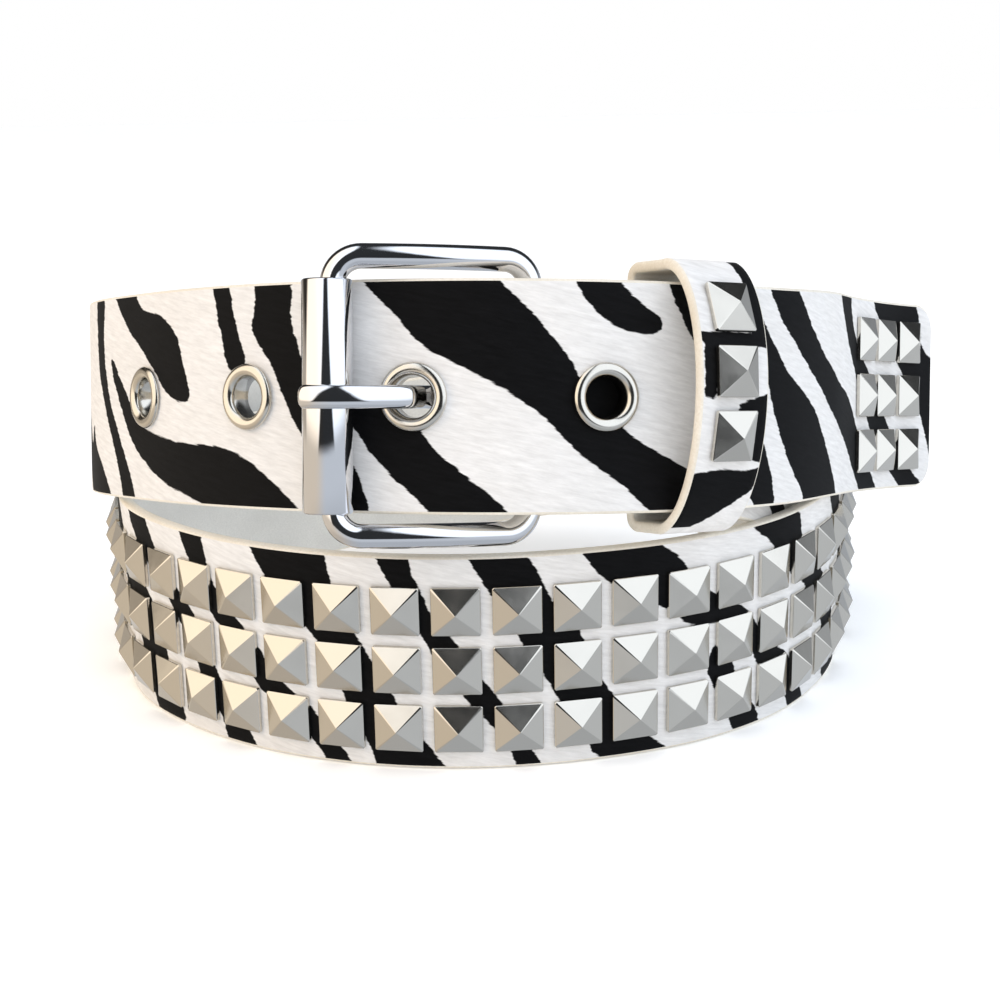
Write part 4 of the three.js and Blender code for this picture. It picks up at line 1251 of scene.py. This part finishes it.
class BELT_OT_roller(bpy.types.Operator):
    """The roller: a sheet tube that turns on the frame's front bar."""

    bl_idname = "belt.roller"
    bl_label = "Roller"

    def execute(self, context):
        bar = route.back_bar
        middle = roller_place()
        outer, half = ROLLER_OUTER / 2, ROLLER_LENGTH / 2
        inner, soft = outer - ROLLER_WALL, 0.25
        profile = [(inner, -half + soft), (inner + soft, -half), (outer - soft, -half),
                   (outer, -half + soft), (outer, half - soft), (outer - soft, half),
                   (inner + soft, half), (inner, half - soft)]
        sides = 64
        points = []
        for radius, height in profile:
            for turn in np.arange(sides) * 2 * math.pi / sides:
                points.append(middle + bar["across"] * height
                              + bar["along"] * radius * math.cos(turn)
                              + bar["out"] * radius * math.sin(turn))
        faces = [face[::-1] for face in band_faces(len(profile), sides, closed=True)]
        roller = make_piece("roller_tube", points, faces, [chrome()])
        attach(roller, "roller")
        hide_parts("buckle_roller")
        return {"FINISHED"}


def smooth_line(points, steps):
    """A smooth line through points."""
    places = np.array([(x, y, 0.0) for x, y in points])
    ribbon = Ribbon(places, np.tile(UP, (len(places), 1)))
    distances = np.linspace(0, ribbon.length, steps)
    return np.stack([np.interp(distances, ribbon.distance, ribbon.line[:, k]) for k in (0, 1)], -1)


class BELT_OT_tongue(bpy.types.Operator):
    """The tongue: a bent rod with an eye round the back bar."""

    bl_idname = "belt.tongue"
    bl_label = "Tongue"

    def execute(self, context):
        bar = route.back_bar
        rows = []
        for row in TONGUE_LINE:
            place = BACK_BAR_PLACE + (ROLLER_PLACE - BACK_BAR_PLACE) * row["along"]
            point = shifted(route.upper(place), out=row["out"] * ROLLER_TOP) - bar["place"]
            rows.append((point @ bar["along"], point @ bar["out"]))
        eye = EYE_RADIUS - TONGUE_THICK / 2
        line = smooth_line([(-0.35 * EYE_RADIUS, eye * 0.93), *rows], 90)
        ahead = unit(np.gradient(line, axis=0))
        end_round = TONGUE_THICK / 2
        left_over = np.linalg.norm(line - line[-1], axis=1)
        scale = np.sqrt(np.clip(1 - (1 - np.clip(left_over / end_round, 0, 1)) ** 2, 0.02, 1))
        half_wide, half_thick = TONGUE_WIDTH / 2, TONGUE_THICK / 2
        turns = np.arange(28) * 2 * math.pi / 28
        power = 0.85
        wide = half_wide * np.sign(np.cos(turns)) * np.abs(np.cos(turns)) ** power
        thick = half_thick * np.sign(np.sin(turns)) * np.abs(np.sin(turns)) ** power
        points = []
        for (x, y), (dx, dy), size in zip(line, ahead, scale):
            for w, h in zip(wide * size, thick * size):
                points.append(shifted(bar, x - dy * h, w, y + dx * h))
        count = len(turns)
        faces = band_faces(len(line), count)
        faces += [tuple(range(count))[::-1],
                  tuple(range((len(line) - 1) * count, len(line) * count))]
        arm = len(points)
        bore = ROD / 2 + TOUCH_GAP
        section = [(bore, -half_wide + 0.3), (bore + 0.3, -half_wide), (EYE_RADIUS - 0.4, -half_wide),
                   (EYE_RADIUS, -half_wide + 0.4), (EYE_RADIUS, half_wide - 0.4),
                   (EYE_RADIUS - 0.4, half_wide), (bore + 0.3, half_wide), (bore, half_wide - 0.3)]
        sides = 40
        for radius, height in section:
            for turn in np.arange(sides) * 2 * math.pi / sides:
                points.append(shifted(bar, radius * math.cos(turn), height, radius * math.sin(turn)))
        eye_faces = band_faces(len(section), sides, closed=True)
        faces += [tuple(v + arm for v in face[::-1]) for face in eye_faces]
        tongue = make_piece("tongue_rod", points, faces, [chrome()])
        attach(tongue, "belt")
        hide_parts("buckle_tongue")
        return {"FINISHED"}


# ---- Stage ----
def soft_light(name, place, target, size, strength, colour):
    """A square soft light that looks at a point."""
    data = bpy.data.lights.new(name, "AREA")
    data.shape = "RECTANGLE"
    data.size, data.size_y = size
    data.energy = strength
    data.color = linear(colour)[:3]
    light = bpy.data.objects.new(name, data)
    light.location = place
    light.rotation_euler = (Vector(target) - Vector(place)).to_track_quat("-Z", "Y").to_euler()
    light.visible_camera = False
    light.visible_glossy = False
    bpy.context.collection.objects.link(light)


def studio_room(studio):
    """The studio round the belt: large white panels overhead, left and right, that leave a dark gap
    towards the camera and behind, with a grey lower part behind, over a pale table."""
    world = bpy.data.worlds.new("studio room")
    world.use_nodes = True
    tree = world.node_tree
    tree.nodes.clear()
    way = add(tree, "ShaderNodeTexCoord").outputs["Generated"]
    x, y, z = add(tree, "ShaderNodeSeparateXYZ", {0: way}).outputs
    side = add(tree, "ShaderNodeMath", {0: x}, operation="ABSOLUTE").outputs[0]

    def ramp(value, start, end, low=0.0, high=1.0):
        return add(tree, "ShaderNodeMapRange", {
            "Value": value, "From Min": start, "From Max": end, "To Min": low, "To Max": high},
            interpolation_type="SMOOTHSTEP").outputs[0]

    def times(first, second):
        return add(tree, "ShaderNodeMath", {0: first, 1: second}, operation="MULTIPLY").outputs[0]

    def blend(amount, first, second):
        return add(tree, "ShaderNodeMix", {"Factor": amount, 2: first, 3: second}).outputs[0]

    height = add(tree, "ShaderNodeMath", {0: z, 1: 0.42, 2: side}, operation="MULTIPLY_ADD").outputs[0]
    panels = times(ramp(height, 0.44, 0.54), ramp(y, 0.15, 0.35, 1.0, 0.0))
    gap = blend(ramp(y, 0.15, 0.35), 0.035, ramp(z, 0.05, 0.3, 0.5, 0.035))
    level = blend(panels, gap, ramp(z, -0.24, 0.0, 0.8, 1.6))
    level = blend(ramp(z, -0.15, -0.27), level, 0.76)
    level = blend(ramp(z, -0.45, -0.75), level, 0.6)
    tint = add(tree, "ShaderNodeMix", {
        "Factor": ramp(x, -0.8, 0.0), 6: linear(studio.warm), 7: linear(studio.cool)},
        data_type="RGBA").outputs[2]
    mirrored = add(tree, "ShaderNodeBackground", {"Color": tint, "Strength": level})
    even = add(tree, "ShaderNodeBackground", {"Color": tint, "Strength": studio.room_strength})
    white = add(tree, "ShaderNodeBackground", {"Color": (1, 1, 1, 1), "Strength": 1.0})
    rays = add(tree, "ShaderNodeLightPath").outputs
    light = add(tree, "ShaderNodeMixShader",
                {0: rays["Is Glossy Ray"], 1: even.outputs[0], 2: mirrored.outputs[0]})
    seen = add(tree, "ShaderNodeMixShader",
               {0: rays["Is Camera Ray"], 1: light.outputs[0], 2: white.outputs[0]})
    add(tree, "ShaderNodeOutputWorld", {"Surface": seen.outputs[0]})
    return world


class BELT_OT_stage(bpy.types.Operator):
    """Pale paper floor, soft studio lights and the camera."""

    bl_idname = "belt.stage"
    bl_label = "Stage"

    def execute(self, context):
        studio = context.scene.belt_studio
        reach = 6.0
        mesh = bpy.data.meshes.new("paper_floor")
        mesh.from_pydata([(-reach, -reach, 0), (reach, -reach, 0), (reach, reach, 0),
                          (-reach, reach, 0)], [], [(0, 1, 2, 3)])
        mesh.materials.append(studio_paper(studio.paper, studio.paper_glow))
        floor = bpy.data.objects.new("paper_floor", mesh)
        floor.location.z = -0.0002
        floor.visible_glossy = False
        context.collection.objects.link(floor)

        context.scene.world = studio_room(studio)
        soft_light("left softbox", (-0.75, -0.35, 0.62), (0, -0.02, 0.04), (0.6, 0.8),
                   studio.key_strength, studio.key_colour)
        soft_light("top softbox", (0, -0.3, 0.95), (0, 0.05, 0.05), (0.5, 0.5),
                   studio.top_strength, studio.cool)
        soft_light("right softbox", (0.75, -0.35, 0.62), (0, -0.02, 0.04), (0.6, 0.8),
                   studio.fill_strength, studio.cool)
        context.scene.view_settings.view_transform = "Standard"

        data = bpy.data.cameras.new("camera")
        data.lens = studio.focal_length
        data.sensor_width = 36
        data.clip_start = 0.01
        camera = bpy.data.objects.new("camera", data)
        camera.matrix_world = (
            Matrix.Translation(to_frame(Vector(studio.camera_place) / MM))
            @ Matrix.Rotation(math.pi / 2 - studio.camera_down, 4, "X")
            @ Matrix.Rotation(studio.camera_roll, 4, "Z")
        )
        context.collection.objects.link(camera)
        context.scene.camera = camera
        return {"FINISHED"}


# ---- Panel and registration ----
SETTINGS = {"belt_finish": BeltFinish, "belt_detail": BeltDetail, "belt_studio": BeltStudio}
OPERATORS = (
    BELT_OT_strap,
    BELT_OT_studs,
    BELT_OT_eyelets,
    BELT_OT_keeper,
    BELT_OT_buckle_frame,
    BELT_OT_roller,
    BELT_OT_tongue,
    BELT_OT_stage,
)


class BELT_PT_panel(bpy.types.Panel):
    """The belt's pieces and settings."""

    bl_idname = "BELT_PT_panel"
    bl_label = "Studded Belt"
    bl_space_type = "VIEW_3D"
    bl_region_type = "UI"
    bl_category = "Belt"

    def draw(self, context):
        for name, group in SETTINGS.items():
            box = self.layout.box()
            settings = getattr(context.scene, name)
            for key in group.__annotations__:
                box.prop(settings, key)
        for operator in OPERATORS:
            self.layout.operator(operator.bl_idname)


def register():
    """Registers the settings, the operators and the panel."""
    for kind in (*SETTINGS.values(), *OPERATORS, BELT_PT_panel):
        bpy.utils.register_class(kind)
    for name, group in SETTINGS.items():
        setattr(bpy.types.Scene, name, bpy.props.PointerProperty(type=group))


def unregister():
    """Takes back what register did."""
    for name in SETTINGS:
        delattr(bpy.types.Scene, name)
    for kind in (BELT_PT_panel, *OPERATORS[::-1], *reversed(SETTINGS.values())):
        bpy.utils.unregister_class(kind)


def main():
    """Builds the belt and its stage."""
    register()
    for operator in OPERATORS:
        _, name = operator.bl_idname.split(".")
        getattr(bpy.ops.belt, name)()


if __name__ == "__main__":
    main()
